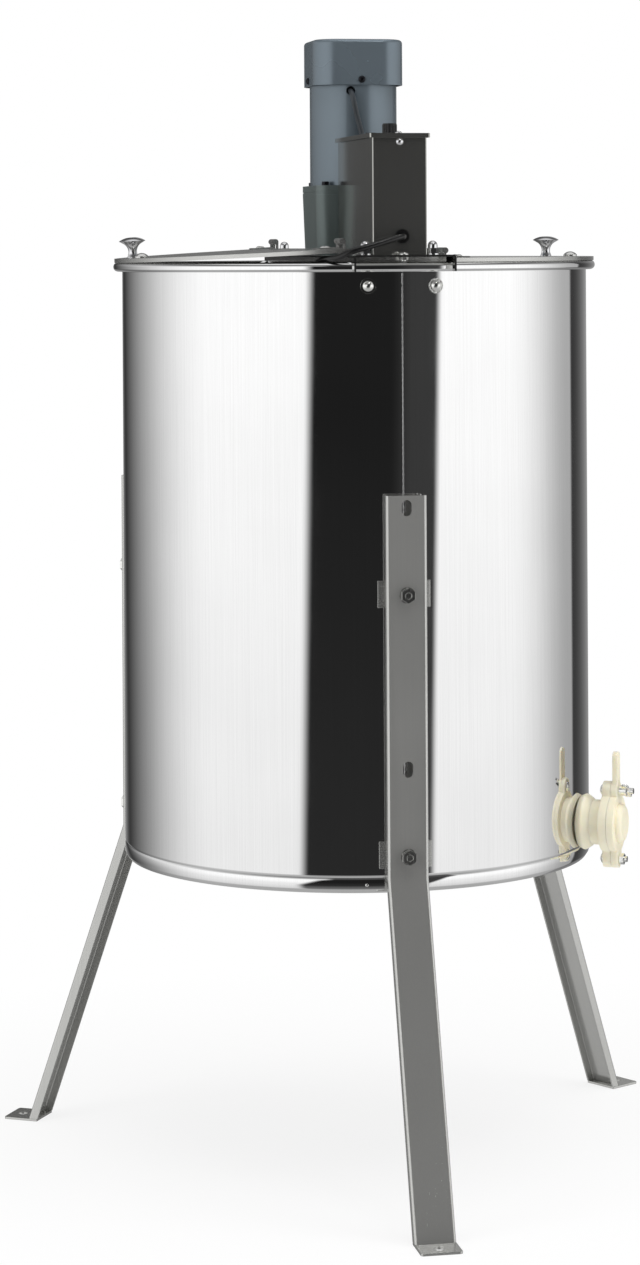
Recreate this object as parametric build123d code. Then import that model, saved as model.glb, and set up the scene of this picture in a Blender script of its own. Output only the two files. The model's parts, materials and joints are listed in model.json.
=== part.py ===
from build123d import *
import math
import os

# Motor-driven honey extractor on three legs. Millimetres, +Z up.
# The origin is on the drum's axis at floor level. -Y is the front: the near leg, the drum's
# weld seam and the control box are there. The crossbar runs along Y, the lids hinge beside it.

# Drum
DRUM_R = 240.0
WALL = 1.2
DRUM_IN_R = DRUM_R - WALL
DRUM_BOTTOM = 306.0
BEAD_R = 4.8
BEAD_Z = 911.5
BEAD_CENTRE_R = DRUM_R + BEAD_R - 0.4
BEAD_TOP = BEAD_Z + BEAD_R
PAN_EDGE_Z = 316.0
PAN_TOP_Z = 346.0
PAN_FLAT_R = 30.0
PAN_RIM = 5.5

# Legs
LEG_ANGLES = (-90.0, 30.0, 150.0)
LEG_W = 40.0
LEG_DEEP = 10.0
LEG_T = 2.0
LEG_WEB_R = 255.0
LEG_TOP = 691.0
LEG_BEND = 322.0
FOOT_WEB_R = 366.0
FOOT_T = 2.5
FOOT_LENGTH = 38.0
FOOT_OUT = 28.0
FOOT_HOLE_R = 5.0
FOOT_HOLE_AT = 381.0
BOLT_HEIGHTS = (595.0, 343.0)
SLOT_RISE = 84.0
SLOT_W = 10.0
SLOT_L = 15.5
M8_R = 4.0

# Crossbar
BAR_HALF_W = 50.5
BAR_HALF_L = 256.0
BAR_T = 2.0
BAR_TOP = 923.0
BAR_FLANGE_BOTTOM = 907.0
BAR_UNDER = BAR_TOP - BAR_T
STUD_X = 33.4
STUD_Y = 226.0
WALL_BOLT_Z = 893.0
M6_R = 3.0

# Gearbox, motor and gear train
BOX_FLOOR_TOP = 935.0
GEARBOX_TOP = 984.5
COVER_TOP = 994.0
GEARBOX_HALF = 47.0
GEARBOX_HALF_LOW = 45.0
GEARBOX_CORNER = 12.0
COVER_SCREW_AT = 36.8
MOUNT_SCREW_AT = 34.0
MOTOR_R = 45.0
MOTOR_WALL = 4.0
MOTOR_TOP = 1097.0
FAN_COVER_TOP = 1144.0
FAN_COVER_CORNER = 25.0
FAN_COVER_T = 2.0
GEAR_MODULE = 1.0
PINION_TEETH = 14
GEAR_TEETH = 30
GEAR_CENTRES = GEAR_MODULE * (PINION_TEETH + GEAR_TEETH) / 2
OUTPUT_R = 8.0
MOTOR_SHAFT_R = 6.0
COUNTER_R = 5.0
RUNNING = 0.05

# Control box
CTRL_HALF_W = 27.0
CTRL_FRONT = -231.0
CTRL_REAR = -55.0
CTRL_TOP = 1040.0
SHEET = 1.2
LID_OVERHANG = 3.0
KNOB_Y = -184.0
SWITCH_X = -12.0
SWITCH_Y = -150.0
SWITCH_PIVOT_Z = 1036.0
ROCKER_TILT = 10.0
CABLE_R = 3.0
GROMMET_X = 2.0
GROMMET_Z = 941.0

# Lids
LID_R = 248.0
LID_EDGE_X = 52.0
LID_TOP = 919.9
LID_DEEP = 4.0
LID_TILT = 2.87
LID_KNOB_AT = (222.0, 65.0)
LID_BOLT_AT = (225.0, -25.0)
HINGE_X = 51.0
HINGE_Z = 927.0
HINGE_Y = 190.0
HINGE_PIN_R = 1.5
KNUCKLE_R = 3.0
KNUCKLE_HALF = 6.0
LEAF_HALF = 15.0
LEAF_T = 1.5

# Honey gate, in a local frame with +X pointing out of the drum
GATE_ANGLE = -30.0
GATE_Z = 347.0
GATE_BORE_R = 17.0
GATE_NECK_R = 20.0
GATE_RING_R = 28.0
GATE_FLANGE_R = 29.0
GATE_RING_OUT = 248.0
GATE_FLANGE_IN = 264.0
GATE_FACE = 273.0
BLADE_FRONT = 280.0
BULGE_FRONT = 286.0
GATE_PIVOT_DROP = 36.0
GATE_CLAMP_RISE = 33.0
GATE_EAR_R = 9.0
TAB_TOP = 72.0

# Basket
BASKET_SHAFT_R = 10.0
BASKET_LOW = 379.0
BASKET_HIGH = 864.0
POST_R = 3.2
BAND_H = 8.0
BAND_T = 3.0
BAND_INSET = 1.5
SCREEN_HALF_W = 117.0
INNER_RING = 126.0
OUTER_RING = 174.0


def cyl(radius, low, high, x=0.0, y=0.0):
    """Upright cylinder between two heights."""
    return Pos(x, y, (low + high) / 2) * Cylinder(radius, high - low)


def block(x0, x1, y0, y1, z0, z1):
    """Box between two corners."""
    return Pos((x0 + x1) / 2, (y0 + y1) / 2, (z0 + z1) / 2) * Box(x1 - x0, y1 - y0, z1 - z0)


def ring(outer, inner, low, high, x=0.0, y=0.0):
    """Upright tube between two heights."""
    return cyl(outer, low, high, x, y) - cyl(inner, low - 1, high + 1, x, y)


def out_cyl(radius, near, far, y=0.0, z=0.0):
    """Cylinder along +X between two distances."""
    return Pos((near + far) / 2, y, z) * Rot(0, 90, 0) * Cylinder(radius, far - near)


def cross_cyl(radius, y0, y1, x, z):
    """Cylinder along Y."""
    return Pos(x, (y0 + y1) / 2, z) * Rot(90, 0, 0) * Cylinder(radius, y1 - y0)


def hexagon(across_flats, low, high, x=0.0, y=0.0):
    """Upright hexagonal prism."""
    outline = RegularPolygon(across_flats / 2, 6, major_radius=False)
    return Pos(x, y, low) * extrude(outline, amount=high - low)


def dome(radius, low, height, x=0.0, y=0.0):
    """Low round-topped screw head: a short cylinder under a spherical cap."""
    rim = height * 0.35
    rise = height - rim
    ball_r = (radius**2 + rise**2) / (2 * rise)
    ball = Pos(0, 0, height - ball_r) * Sphere(ball_r)
    return Pos(x, y, low) * (cyl(radius, 0, height + 1) & ball)


def facing_out(part):
    """Turns an upright fastener so that its head points along +X."""
    return Rot(0, 90, 0) * part


def around(part, angle):
    return Rot(0, 0, angle) * part


def write(name, *parts):
    """Writes every solid of the parts as one STEP file."""
    solids = [solid for part in parts for solid in part.solids()]
    export_step(Compound(solids), "parts/" + name + ".step")


# ---------------------------------------------------------------- drum and stand


def drum_shell():
    """Rolled wall with a wired top bead, a grooved bottom band and a turned-in hem."""
    outer = [
        (DRUM_R, BEAD_Z),
        (DRUM_R, DRUM_BOTTOM + 16.5),
        (DRUM_R - 0.9, DRUM_BOTTOM + 15),
        (DRUM_R, DRUM_BOTTOM + 13.5),
        (DRUM_R, DRUM_BOTTOM + 4),
        (DRUM_R - 2.4, DRUM_BOTTOM),
    ]
    inner = [(radius - WALL, height) for radius, height in reversed(outer)]
    inner[0] = (DRUM_R - 2.4 - WALL, DRUM_BOTTOM)
    wall = revolve(Plane.XZ * make_face(Polyline(*outer, *inner, close=True)), Axis.Z)
    bead = Pos(0, 0, BEAD_Z) * Torus(BEAD_CENTRE_R, BEAD_R)
    bead -= cyl(DRUM_IN_R, BEAD_Z - 10, BEAD_Z + 10)
    seam = block(-1, 1, -DRUM_R - 0.3, -DRUM_R + 0.6, DRUM_BOTTOM + 18, BEAD_Z - 3)
    shell = wall + bead + seam
    shell -= around(out_cyl(GATE_NECK_R + 0.2, DRUM_R - 20, DRUM_R + 20, z=GATE_Z), GATE_ANGLE)
    for angle in wall_bolt_angles():
        shell -= around(out_cyl(M6_R + 0.2, DRUM_R - 20, DRUM_R + 20, z=WALL_BOLT_Z), angle)
    return shell


def drum_floor():
    """Conical pan, high in the middle, with a turned-down welding rim."""
    top = [(0, PAN_TOP_Z), (PAN_FLAT_R, PAN_TOP_Z), (DRUM_IN_R, PAN_EDGE_Z), (DRUM_IN_R, PAN_EDGE_Z - PAN_RIM)]
    under = [
        (DRUM_IN_R - WALL, PAN_EDGE_Z - PAN_RIM),
        (DRUM_IN_R - WALL, PAN_EDGE_Z - WALL),
        (PAN_FLAT_R, PAN_TOP_Z - WALL),
        (0, PAN_TOP_Z - WALL),
    ]
    return revolve(Plane.XZ * make_face(Polyline(*top, *under, close=True)), Axis.Z)


def bottom_bearing():
    """Cup welded on the pan, and the ball that carries the basket shaft."""
    cup = cyl(24, PAN_TOP_Z, PAN_TOP_Z + 3) + cyl(15, PAN_TOP_Z, PAN_TOP_Z + 24)
    cup -= cyl(BASKET_SHAFT_R + RUNNING, PAN_TOP_Z + 4, PAN_TOP_Z + 30)
    ball = Pos(0, 0, PAN_TOP_Z + 9) * Sphere(5)
    return cup, ball


def foot_slope():
    return (FOOT_WEB_R - LEG_WEB_R) / (LEG_BEND - FOOT_T)


def leg():
    """Bent U-channel in a local frame with +X pointing out of the drum."""
    outer = Pos(0, -LEG_DEEP / 2) * Rectangle(LEG_W, LEG_DEEP)
    outer = fillet(outer.vertices().group_by(Axis.Y)[-1], 3)
    inner = Pos(0, -LEG_DEEP / 2 - LEG_T) * Rectangle(LEG_W - 2 * LEG_T, LEG_DEEP)
    inner = fillet(inner.vertices().group_by(Axis.Y)[-1], 1)
    start = Plane(origin=(LEG_WEB_R, 0, LEG_TOP), x_dir=(0, 1, 0), z_dir=(0, 0, -1))
    below = 12.0
    end_x = LEG_WEB_R + (LEG_BEND + below) * foot_slope()
    path = Polyline((LEG_WEB_R, 0, LEG_TOP), (LEG_WEB_R, 0, LEG_BEND), (end_x, 0, -below))
    channel = sweep(start * (outer - inner), path=path, transition=Transition.RIGHT)
    channel -= block(LEG_WEB_R, end_x + 50, -LEG_W, LEG_W, -60, FOOT_T)
    for height in BOLT_HEIGHTS:
        channel -= out_cyl(M8_R + 0.2, LEG_WEB_R - 5, LEG_WEB_R + 5, z=height)
        slot = Plane.YZ * SlotOverall(SLOT_L, SLOT_W, rotation=90)
        channel -= Pos(LEG_WEB_R - 5, 0, height + SLOT_RISE) * extrude(slot, amount=10)
    return channel


def foot_plate():
    """Plate welded under a leg, with a floor-fixing hole beyond the channel."""
    tip = FOOT_WEB_R + FOOT_OUT
    plate = block(tip - FOOT_LENGTH, tip, -LEG_W / 2, LEG_W / 2, 0, FOOT_T)
    plate = fillet(plate.edges().filter_by(Axis.Z).group_by(Axis.X)[-1], 3)
    return plate - cyl(FOOT_HOLE_R, -1, FOOT_T + 1, FOOT_HOLE_AT)


def leg_bracket(height):
    """Hat bracket welded on the drum. Its raised part fits inside the leg."""
    half = 13.0
    hat_half_w = LEG_W / 2 - LEG_T - 0.5
    top = LEG_WEB_R - LEG_T
    low = height - half
    high = height + half
    hat = block(DRUM_R - 5, top, -hat_half_w, hat_half_w, low, high)
    hat = chamfer(hat.edges().filter_by(Axis.Z).group_by(Axis.X)[-1], 1)
    hat -= block(DRUM_R - 6, top - 2, -hat_half_w + 2, hat_half_w - 2, low - 1, high + 1)
    brim = ring(DRUM_R + 2, DRUM_R, low, high) & block(DRUM_R - 10, top, -26, 26, low, high)
    brim -= block(DRUM_R - 10, top, -hat_half_w + 2, hat_half_w - 2, low - 1, high + 1)
    bracket = hat + brim - cyl(DRUM_R, low - 1, high + 1)
    return bracket - out_cyl(M8_R + 0.2, top - 4, top + 1, z=height)


def leg_bolt(height):
    """M8 flange-head bolt through the leg and its bracket."""
    head = cyl(7.75, 0, 1.6) + hexagon(13, 0, 7)
    head -= hexagon(6, 6.4, 8)
    return Pos(LEG_WEB_R, 0, height) * facing_out(head + cyl(M8_R - 0.05, -11.5, 1))


def leg_nut(height):
    under = LEG_WEB_R - LEG_T - 2
    nut = hexagon(13, -6.5, 0) - cyl(M8_R, -8, 1)
    return Pos(under, 0, height) * facing_out(nut)


# ---------------------------------------------------------------- crossbar


def wall_bolt_angles():
    """Directions of the four bolts that hold the crossbar brackets to the drum wall."""
    spread = math.degrees(math.asin(STUD_X / DRUM_R))
    return [side + turn for side in (-90, 90) for turn in (-spread, spread)]


def crossbar():
    """Inverted channel across the drum's mouth, notched over the bead."""
    bar = block(-BAR_HALF_W, BAR_HALF_W, -BAR_HALF_L, BAR_HALF_L, BAR_FLANGE_BOTTOM, BAR_TOP)
    bar = fillet(bar.edges().filter_by(Axis.Y).group_by(Axis.Z)[-1], 2.5)
    inside = BAR_HALF_W - BAR_T
    bar -= block(-inside, inside, -BAR_HALF_L - 1, BAR_HALF_L + 1, BAR_FLANGE_BOTTOM - 1, BAR_UNDER)
    for side in (-1, 1):
        edges = sorted((side * 233.0, side * 246.0))
        bar -= block(-60, 60, edges[0], edges[1], BAR_FLANGE_BOTTOM - 1, BEAD_TOP + 0.3)
        bar -= cyl(2.6, BAR_UNDER - 1, BAR_TOP + 1, 0, side * 247)
        for x in (-STUD_X, STUD_X):
            bar -= cyl(M6_R + 0.2, BAR_UNDER - 1, BAR_TOP + 1, x, side * STUD_Y)
        for x in (-MOUNT_SCREW_AT, MOUNT_SCREW_AT):
            bar -= cyl(M6_R + 0.2, BAR_UNDER - 1, BAR_TOP + 1, x, side * MOUNT_SCREW_AT)
            for y in (-9, 9):
                bar -= cyl(1.7, BAR_UNDER - 1, BAR_TOP + 1, math.copysign(39, x), side * HINGE_Y + y)
    return bar - cyl(14, BAR_UNDER - 1, BAR_TOP + 1)


def crossbar_bracket(side):
    """Angle under the bar's end, curved to the inside of the drum wall."""
    half_w = 45.0
    leaf = block(-half_w, half_w, 208, 250, BAR_UNDER - 2, BAR_UNDER) & cyl(DRUM_IN_R, 900, 930)
    upright = ring(DRUM_IN_R, DRUM_IN_R - 2, 879, BAR_UNDER) & block(-half_w, half_w, 200, 250, 879, 930)
    angle = leaf + upright
    for x in (-STUD_X, STUD_X):
        angle -= cyl(M6_R + 0.2, 900, 930, x, STUD_Y)
    angle = angle if side > 0 else around(angle, 180)
    for direction in wall_bolt_angles():
        angle -= around(out_cyl(M6_R + 0.2, 220, 250, z=WALL_BOLT_Z), direction)
    return angle


def wall_bolt(angle):
    """Washer and dome-head bolt outside the drum wall, nut inside."""
    washer = ring(7.5, M6_R, 0, 1.4)
    bolt = dome(5.2, 1.4, 4.2) + cyl(M6_R - 0.05, -10, 2)
    nut = hexagon(10, -8.4, -3.4) - cyl(M6_R, -12, 0)
    place = Rot(0, 0, angle) * Pos(DRUM_R, 0, WALL_BOLT_Z) * Rot(0, 90, 0)
    return [place * part for part in (washer, bolt, nut)]


def acorn_nut(x, y):
    """Domed nut on a washer."""
    washer = ring(6.1, M6_R, 0, 1.2)
    body = hexagon(10, 1.2, 6.5) & cyl(5.75, 0, 8)
    cap = cyl(4.8, 6.5, 8.9) + (Pos(0, 0, 8.9) * Sphere(4.8) & cyl(6, 8.9, 15))
    nut = body + cap - cyl(M6_R, 0, 9)
    return [Pos(x, y, BAR_TOP) * part for part in (washer, nut)]


def crossbar_bolts():
    """Studs under the acorn nuts, end screws with nuts, and the fixed hinge leaves' screws."""
    parts = []
    for side in (-1, 1):
        for x in (-STUD_X, STUD_X):
            head = BAR_UNDER - 2
            bolt = hexagon(10, head - 4, head) + cyl(M6_R - 0.05, head - 1, BAR_TOP + 8.5)
            parts.append(Pos(x, side * STUD_Y, 0) * bolt)
        end_screw = dome(4.6, BAR_TOP, 3) + cyl(2.45, BEAD_TOP + 0.6, BAR_TOP + 1)
        parts.append(Pos(0, side * 247, 0) * end_screw)
        parts.append(Pos(0, side * 247, 0) * (hexagon(8, BAR_UNDER - 3, BAR_UNDER) - cyl(2.5, 900, 930)))
        for x in (-39, 39):
            for y in (-9, 9):
                screw = dome(3.2, BAR_TOP + LEAF_T, 1.8) + cyl(1.65, BAR_UNDER - 3, BAR_TOP + LEAF_T + 0.5)
                parts.append(Pos(x, side * HINGE_Y + y, 0) * screw)
    return parts


# ---------------------------------------------------------------- gear train


def gear(teeth, width, bore):
    """Involute spur gear standing on z = 0, with one tooth centred on +X."""
    pressure = math.radians(20)
    pitch_r = GEAR_MODULE * teeth / 2
    base_r = pitch_r * math.cos(pressure)
    tip_r = pitch_r + 0.9 * GEAR_MODULE
    root_r = pitch_r - 1.25 * GEAR_MODULE
    backlash = 0.12
    half_at_pitch = (math.pi * GEAR_MODULE / 2 - backlash) / 2 / pitch_r
    start = max(base_r, root_r)
    flank = []
    for step in range(5):
        radius = start + (tip_r - start) * step / 4
        roll = math.acos(min(1.0, base_r / radius))
        half = half_at_pitch + (math.tan(pressure) - pressure) - (math.tan(roll) - roll)
        flank.append((radius, half))
    if root_r < base_r:
        flank.insert(0, (root_r, flank[0][1]))
    points = []
    for tooth in range(teeth):
        middle = 2 * math.pi * tooth / teeth
        for radius, half in flank:
            points.append((radius * math.cos(middle - half), radius * math.sin(middle - half)))
        for radius, half in reversed(flank):
            points.append((radius * math.cos(middle + half), radius * math.sin(middle + half)))
    wheel = extrude(make_face(Polyline(*points, close=True)), amount=width)
    return wheel - cyl(bore, -1, width + 1) if bore else wheel


def half_pitch(teeth):
    return 180.0 / teeth


def rounded_square(half, corner):
    return RectangleRounded(2 * half, 2 * half, corner)


def gearbox_housing():
    """Tapered cast housing, open at the top."""
    low = Plane.XY.offset(BAR_TOP) * rounded_square(GEARBOX_HALF_LOW, GEARBOX_CORNER)
    high = Plane.XY.offset(GEARBOX_TOP) * rounded_square(GEARBOX_HALF, GEARBOX_CORNER)
    body = loft([low, high])
    room = Pos(0, 0, BOX_FLOOR_TOP) * extrude(rounded_square(41, 9), amount=60)
    corner_posts = [
        cyl(6.5, BOX_FLOOR_TOP, GEARBOX_TOP, x, y)
        for x in (-COVER_SCREW_AT, COVER_SCREW_AT)
        for y in (-COVER_SCREW_AT, COVER_SCREW_AT)
    ]
    for post in corner_posts:
        room -= post
    body -= room
    body -= cyl(OUTPUT_R + 2, BAR_TOP - 1, BAR_TOP + 3) + cyl(13.5, BAR_TOP + 2, BOX_FLOOR_TOP + 1)
    body -= cyl(7.5, BAR_TOP + 3, BOX_FLOOR_TOP + 1, GEAR_CENTRES)
    for x in (-1, 1):
        for y in (-1, 1):
            body -= cyl(2.1, GEARBOX_TOP - 12, GEARBOX_TOP + 1, x * COVER_SCREW_AT, y * COVER_SCREW_AT)
            body -= cyl(M6_R, BAR_TOP - 1, BAR_TOP + 9, x * MOUNT_SCREW_AT, y * MOUNT_SCREW_AT)
    return body


def gearbox_cover():
    """Flange between gearbox and motor, with bearing seats and a parting groove."""
    plate = Pos(0, 0, GEARBOX_TOP) * extrude(
        rounded_square(GEARBOX_HALF, GEARBOX_CORNER), amount=COVER_TOP - GEARBOX_TOP
    )
    groove = Pos(0, 0, GEARBOX_TOP + 2.4) * extrude(
        rounded_square(GEARBOX_HALF + 1, GEARBOX_CORNER) - rounded_square(GEARBOX_HALF - 0.6, GEARBOX_CORNER),
        amount=0.8,
    )
    plate -= groove
    plate -= cyl(11, GEARBOX_TOP - 1, COVER_TOP + 1)
    plate -= cyl(7.5, GEARBOX_TOP - 1, COVER_TOP - 1.5, GEAR_CENTRES)
    for x in (-COVER_SCREW_AT, COVER_SCREW_AT):
        for y in (-COVER_SCREW_AT, COVER_SCREW_AT):
            plate -= cyl(2.2, GEARBOX_TOP - 1, COVER_TOP + 1, x, y)
    return plate


def gearbox_screws():
    """Four socket screws down through the flange, and four up through the crossbar."""
    parts = []
    for x in (-1, 1):
        for y in (-1, 1):
            cap = cyl(3.7, COVER_TOP, COVER_TOP + 4) - hexagon(3, COVER_TOP + 1.8, COVER_TOP + 5)
            cap += cyl(2.05, GEARBOX_TOP - 11, COVER_TOP + 1)
            parts.append(Pos(x * COVER_SCREW_AT, y * COVER_SCREW_AT, 0) * cap)
            mount = hexagon(10, BAR_UNDER - 4, BAR_UNDER) + cyl(M6_R - 0.05, BAR_UNDER - 1, BAR_TOP + 8)
            parts.append(Pos(x * MOUNT_SCREW_AT, y * MOUNT_SCREW_AT, 0) * mount)
    return parts


def drive_bearings():
    """Output bearing, two countershaft bushes and two motor bearings."""
    return [
        ring(13.5, OUTPUT_R + RUNNING, BAR_TOP + 3, BOX_FLOOR_TOP),
        ring(7.5, COUNTER_R + RUNNING, BAR_TOP + 4, BOX_FLOOR_TOP, GEAR_CENTRES),
        ring(7.5, COUNTER_R + RUNNING, GEARBOX_TOP, COVER_TOP - 2, GEAR_CENTRES),
        ring(11, MOTOR_SHAFT_R + RUNNING, GEARBOX_TOP + 1, COVER_TOP - 1),
        ring(11, MOTOR_SHAFT_R + RUNNING, MOTOR_TOP - 7, MOTOR_TOP + 1),
    ]


def countershaft():
    """Shaft with an integral pinion."""
    pinion = Pos(0, 0, 937) * around(gear(PINION_TEETH, 14, 0), half_pitch(PINION_TEETH))
    shaft = cyl(COUNTER_R, BAR_TOP + 4.5, COVER_TOP - 2.5)
    return Pos(GEAR_CENTRES, 0, 0) * (shaft + pinion)


def motor_shaft():
    """Rotor shaft with the first pinion cut on its lower end."""
    pinion = Pos(0, 0, 962) * around(gear(PINION_TEETH, 14, 0), half_pitch(PINION_TEETH))
    return pinion + cyl(MOTOR_SHAFT_R, 976, MOTOR_TOP + 31)


# ---------------------------------------------------------------- motor


def motor_housing():
    """Plain round tube with a hole for the lead."""
    tube = ring(MOTOR_R, MOTOR_R - MOTOR_WALL, COVER_TOP, MOTOR_TOP)
    lead = Pos(-11, -40, MOTOR_TOP - 6) * Rot(90, 0, 0) * Cylinder(4.5, 30)
    return tube - lead


def motor_end_shield():
    """Upper end plate with a spigot for the fan cover."""
    low = MOTOR_TOP - 8
    shield = cyl(MOTOR_R - MOTOR_WALL, low, MOTOR_TOP) - cyl(36, low - 1, low + 4)
    shield += cyl(15, low, MOTOR_TOP)
    shield += ring(MOTOR_R - 0.2, 38, MOTOR_TOP, MOTOR_TOP + 10)
    shield -= cyl(11, MOTOR_TOP - 7, MOTOR_TOP + 2)
    shield -= cyl(MOTOR_SHAFT_R + 1, low - 1, MOTOR_TOP)
    for angle in (0, 90, 180, 270):
        shield -= around(out_cyl(2, 37, 50, z=MOTOR_TOP + 5.5), angle)
    return shield - Pos(-11, -40, MOTOR_TOP - 6) * Rot(90, 0, 0) * Cylinder(4.5, 30)


def stator():
    """Laminated ring with twelve slots."""
    core = ring(MOTOR_R - MOTOR_WALL, 24, 1010, 1070)
    for index in range(12):
        core -= around(block(23, 34, -2.5, 2.5, 1009, 1071), index * 30)
    return core


def cooling_fan():
    """Straight-bladed fan on the shaft's top end."""
    low = MOTOR_TOP + 12
    fan = cyl(10, low, low + 16) + cyl(36, low, low + 1.6)
    for index in range(8):
        fan += around(block(8, 36, -0.8, 0.8, low, low + 14), index * 45)
    return fan - cyl(MOTOR_SHAFT_R, low - 1, low + 20)


def fan_cover():
    """Rounded-square pressed cover with air slots in its top."""
    height = FAN_COVER_TOP - MOTOR_TOP
    outer = Pos(0, 0, MOTOR_TOP) * extrude(rounded_square(GEARBOX_HALF, FAN_COVER_CORNER), amount=height)
    outer = fillet(outer.edges().group_by(Axis.Z)[-1], 4)
    inner_half = GEARBOX_HALF - FAN_COVER_T
    inner_square = rounded_square(inner_half, FAN_COVER_CORNER - FAN_COVER_T)
    cover = outer - Pos(0, 0, MOTOR_TOP - 1) * extrude(inner_square, amount=height + 1 - FAN_COVER_T)
    for index in range(16):
        slot = block(16, 34, -1.6, 1.6, FAN_COVER_TOP - 5, FAN_COVER_TOP + 1)
        cover -= around(slot, index * 22.5)
    for angle in (0, 90, 180, 270):
        cover -= around(out_cyl(2.2, 40, 50, z=MOTOR_TOP + 5.5), angle)
    return cover


def fan_cover_screw():
    head = dome(3.6, GEARBOX_HALF, 2.6) - hexagon(2.5, GEARBOX_HALF + 1.4, GEARBOX_HALF + 4)
    screw = head + cyl(1.95, 40, GEARBOX_HALF + 1)
    return Pos(0, 0, MOTOR_TOP + 5.5) * facing_out(screw)


def motor_cable():
    """Lead from the motor's upper end down to the back of the control box."""
    path = Spline(
        (-11, -41, MOTOR_TOP - 6),
        (-10.6, -48.2, MOTOR_TOP - 10),
        (-6, -48.7, MOTOR_TOP - 30),
        (0, -49.4, MOTOR_TOP - 56),
        (1.5, -50.2, CTRL_TOP - 12),
        (1.5, CTRL_REAR - 4, CTRL_TOP - 20),
    )
    return sweep(Plane(path ^ 0) * Circle(2.6), path=path)


# ---------------------------------------------------------------- control box


def control_box():
    """Polished folded box, open at the top, with flanged floor and cable holes."""
    outer = block(-CTRL_HALF_W, CTRL_HALF_W, CTRL_FRONT, CTRL_REAR, BAR_TOP, CTRL_TOP)
    outer = fillet(outer.edges().filter_by(Axis.Z), 1.4)
    inner = block(
        -CTRL_HALF_W + SHEET, CTRL_HALF_W - SHEET, CTRL_FRONT + SHEET, CTRL_REAR - SHEET,
        BAR_TOP + SHEET, CTRL_TOP + 1,
    )
    box = outer - inner
    box -= cross_cyl(6.0, CTRL_FRONT - 3, CTRL_FRONT + 5, GROMMET_X, GROMMET_Z)
    box -= cross_cyl(1.8, CTRL_FRONT - 3, CTRL_FRONT + 5, 0, CTRL_TOP - 7)
    box -= Pos(1.5, CTRL_REAR, CTRL_TOP - 18) * Rot(90, 0, 0) * Cylinder(6.5, 8)
    for y in (-200, -90):
        box -= cyl(2.1, BAR_TOP - 1, BAR_TOP + 3, 0, y)
    return box


def box_cover():
    """Folded lid of the control box, with cut-outs for knob shaft and switch."""
    out_x = CTRL_HALF_W + LID_OVERHANG
    low = CTRL_TOP - 3.1
    high = CTRL_TOP + SHEET
    cover = block(-out_x, out_x, CTRL_FRONT - LID_OVERHANG, CTRL_REAR, low, high)
    cover = fillet(cover.edges().filter_by(Axis.Z).group_by(Axis.Y)[0], 2)
    inset = out_x - SHEET
    front = CTRL_FRONT - LID_OVERHANG + SHEET
    cover -= block(-inset, inset, front, CTRL_REAR + 1, low - 1, CTRL_TOP)
    cover -= cyl(3.6, CTRL_TOP - 1, high + 1, 0, KNOB_Y)
    cover -= block(SWITCH_X - 6.5, SWITCH_X + 6.5, SWITCH_Y - 9.5, SWITCH_Y + 9.5, CTRL_TOP - 1, high + 1)
    return cover - cyl(1.8, CTRL_TOP - 1, high + 1, 0, CTRL_FRONT + 5)


def box_screws():
    """Cover screw on top, pan-head screw in front, and two screws through the floor."""
    top = dome(3.4, CTRL_TOP + SHEET, 2.2, 0, CTRL_FRONT + 5)
    top += cyl(1.7, CTRL_TOP - 6, CTRL_TOP + SHEET + 0.5, 0, CTRL_FRONT + 5)
    front = dome(3.6, 0, 2.6) + cyl(1.7, -7, 0.5)
    front = Pos(0, CTRL_FRONT, CTRL_TOP - 7) * Rot(90, 0, 0) * front
    parts = [top, front]
    for y in (-200, -90):
        screw = dome(4, BAR_TOP + SHEET, 2.4, 0, y) + cyl(2, BAR_TOP - 0.5, BAR_TOP + SHEET + 0.5, 0, y)
        parts.append(screw & block(-9, 9, y - 9, y + 9, BAR_TOP, BAR_TOP + 9))
    return parts


def speed_control():
    """Potentiometer under the cover, and the circuit board on the box's side."""
    pot = cyl(8, CTRL_TOP - 10, CTRL_TOP, 0, KNOB_Y) + cyl(3, CTRL_TOP - 1, CTRL_TOP + 9, 0, KNOB_Y)
    side = CTRL_HALF_W - SHEET
    board = block(side - 6, side - 4.4, -170, -75, BAR_TOP + 18, BAR_TOP + 92)
    board += block(side - 30, side - 6, -150, -118, BAR_TOP + 30, BAR_TOP + 52)
    board += cross_cyl(6, -110, -85, side - 12.5, BAR_TOP + 62)
    board += block(side - 4.4, side, -166, -160, BAR_TOP + 24, BAR_TOP + 30)
    board += block(side - 4.4, side, -86, -80, BAR_TOP + 24, BAR_TOP + 30)
    return pot, board


def speed_knob():
    """Ridged push-on knob."""
    low = CTRL_TOP + SHEET + 0.4
    knob = cyl(6.6, low, low + 10.6)
    for index in range(16):
        knob += around(cyl(0.9, low, low + 9.6, 6.5), index * 22.5)
    knob = knob - cyl(3.0 + RUNNING, low - 1, CTRL_TOP + 9.2)
    knob -= block(-0.5, 0.5, -6.6, -2, low + 9.8, low + 12)
    return Pos(0, KNOB_Y, 0) * knob


def switch_body():
    """Bezel on the cover and the switch's case under it."""
    high = CTRL_TOP + SHEET
    bezel = block(SWITCH_X - 7.5, SWITCH_X + 7.5, SWITCH_Y - 10.5, SWITCH_Y + 10.5, high, high + 1.8)
    case = block(SWITCH_X - 6.5, SWITCH_X + 6.5, SWITCH_Y - 9.5, SWITCH_Y + 9.5, CTRL_TOP - 16, high)
    well = block(SWITCH_X - 5.2, SWITCH_X + 5.2, SWITCH_Y - 8.7, SWITCH_Y + 8.7, CTRL_TOP - 9, high + 3)
    pin = Pos(SWITCH_X, SWITCH_Y, SWITCH_PIVOT_Z) * Rot(0, 90, 0) * Cylinder(1.2, 11)
    return bezel + case - well + pin


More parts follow.
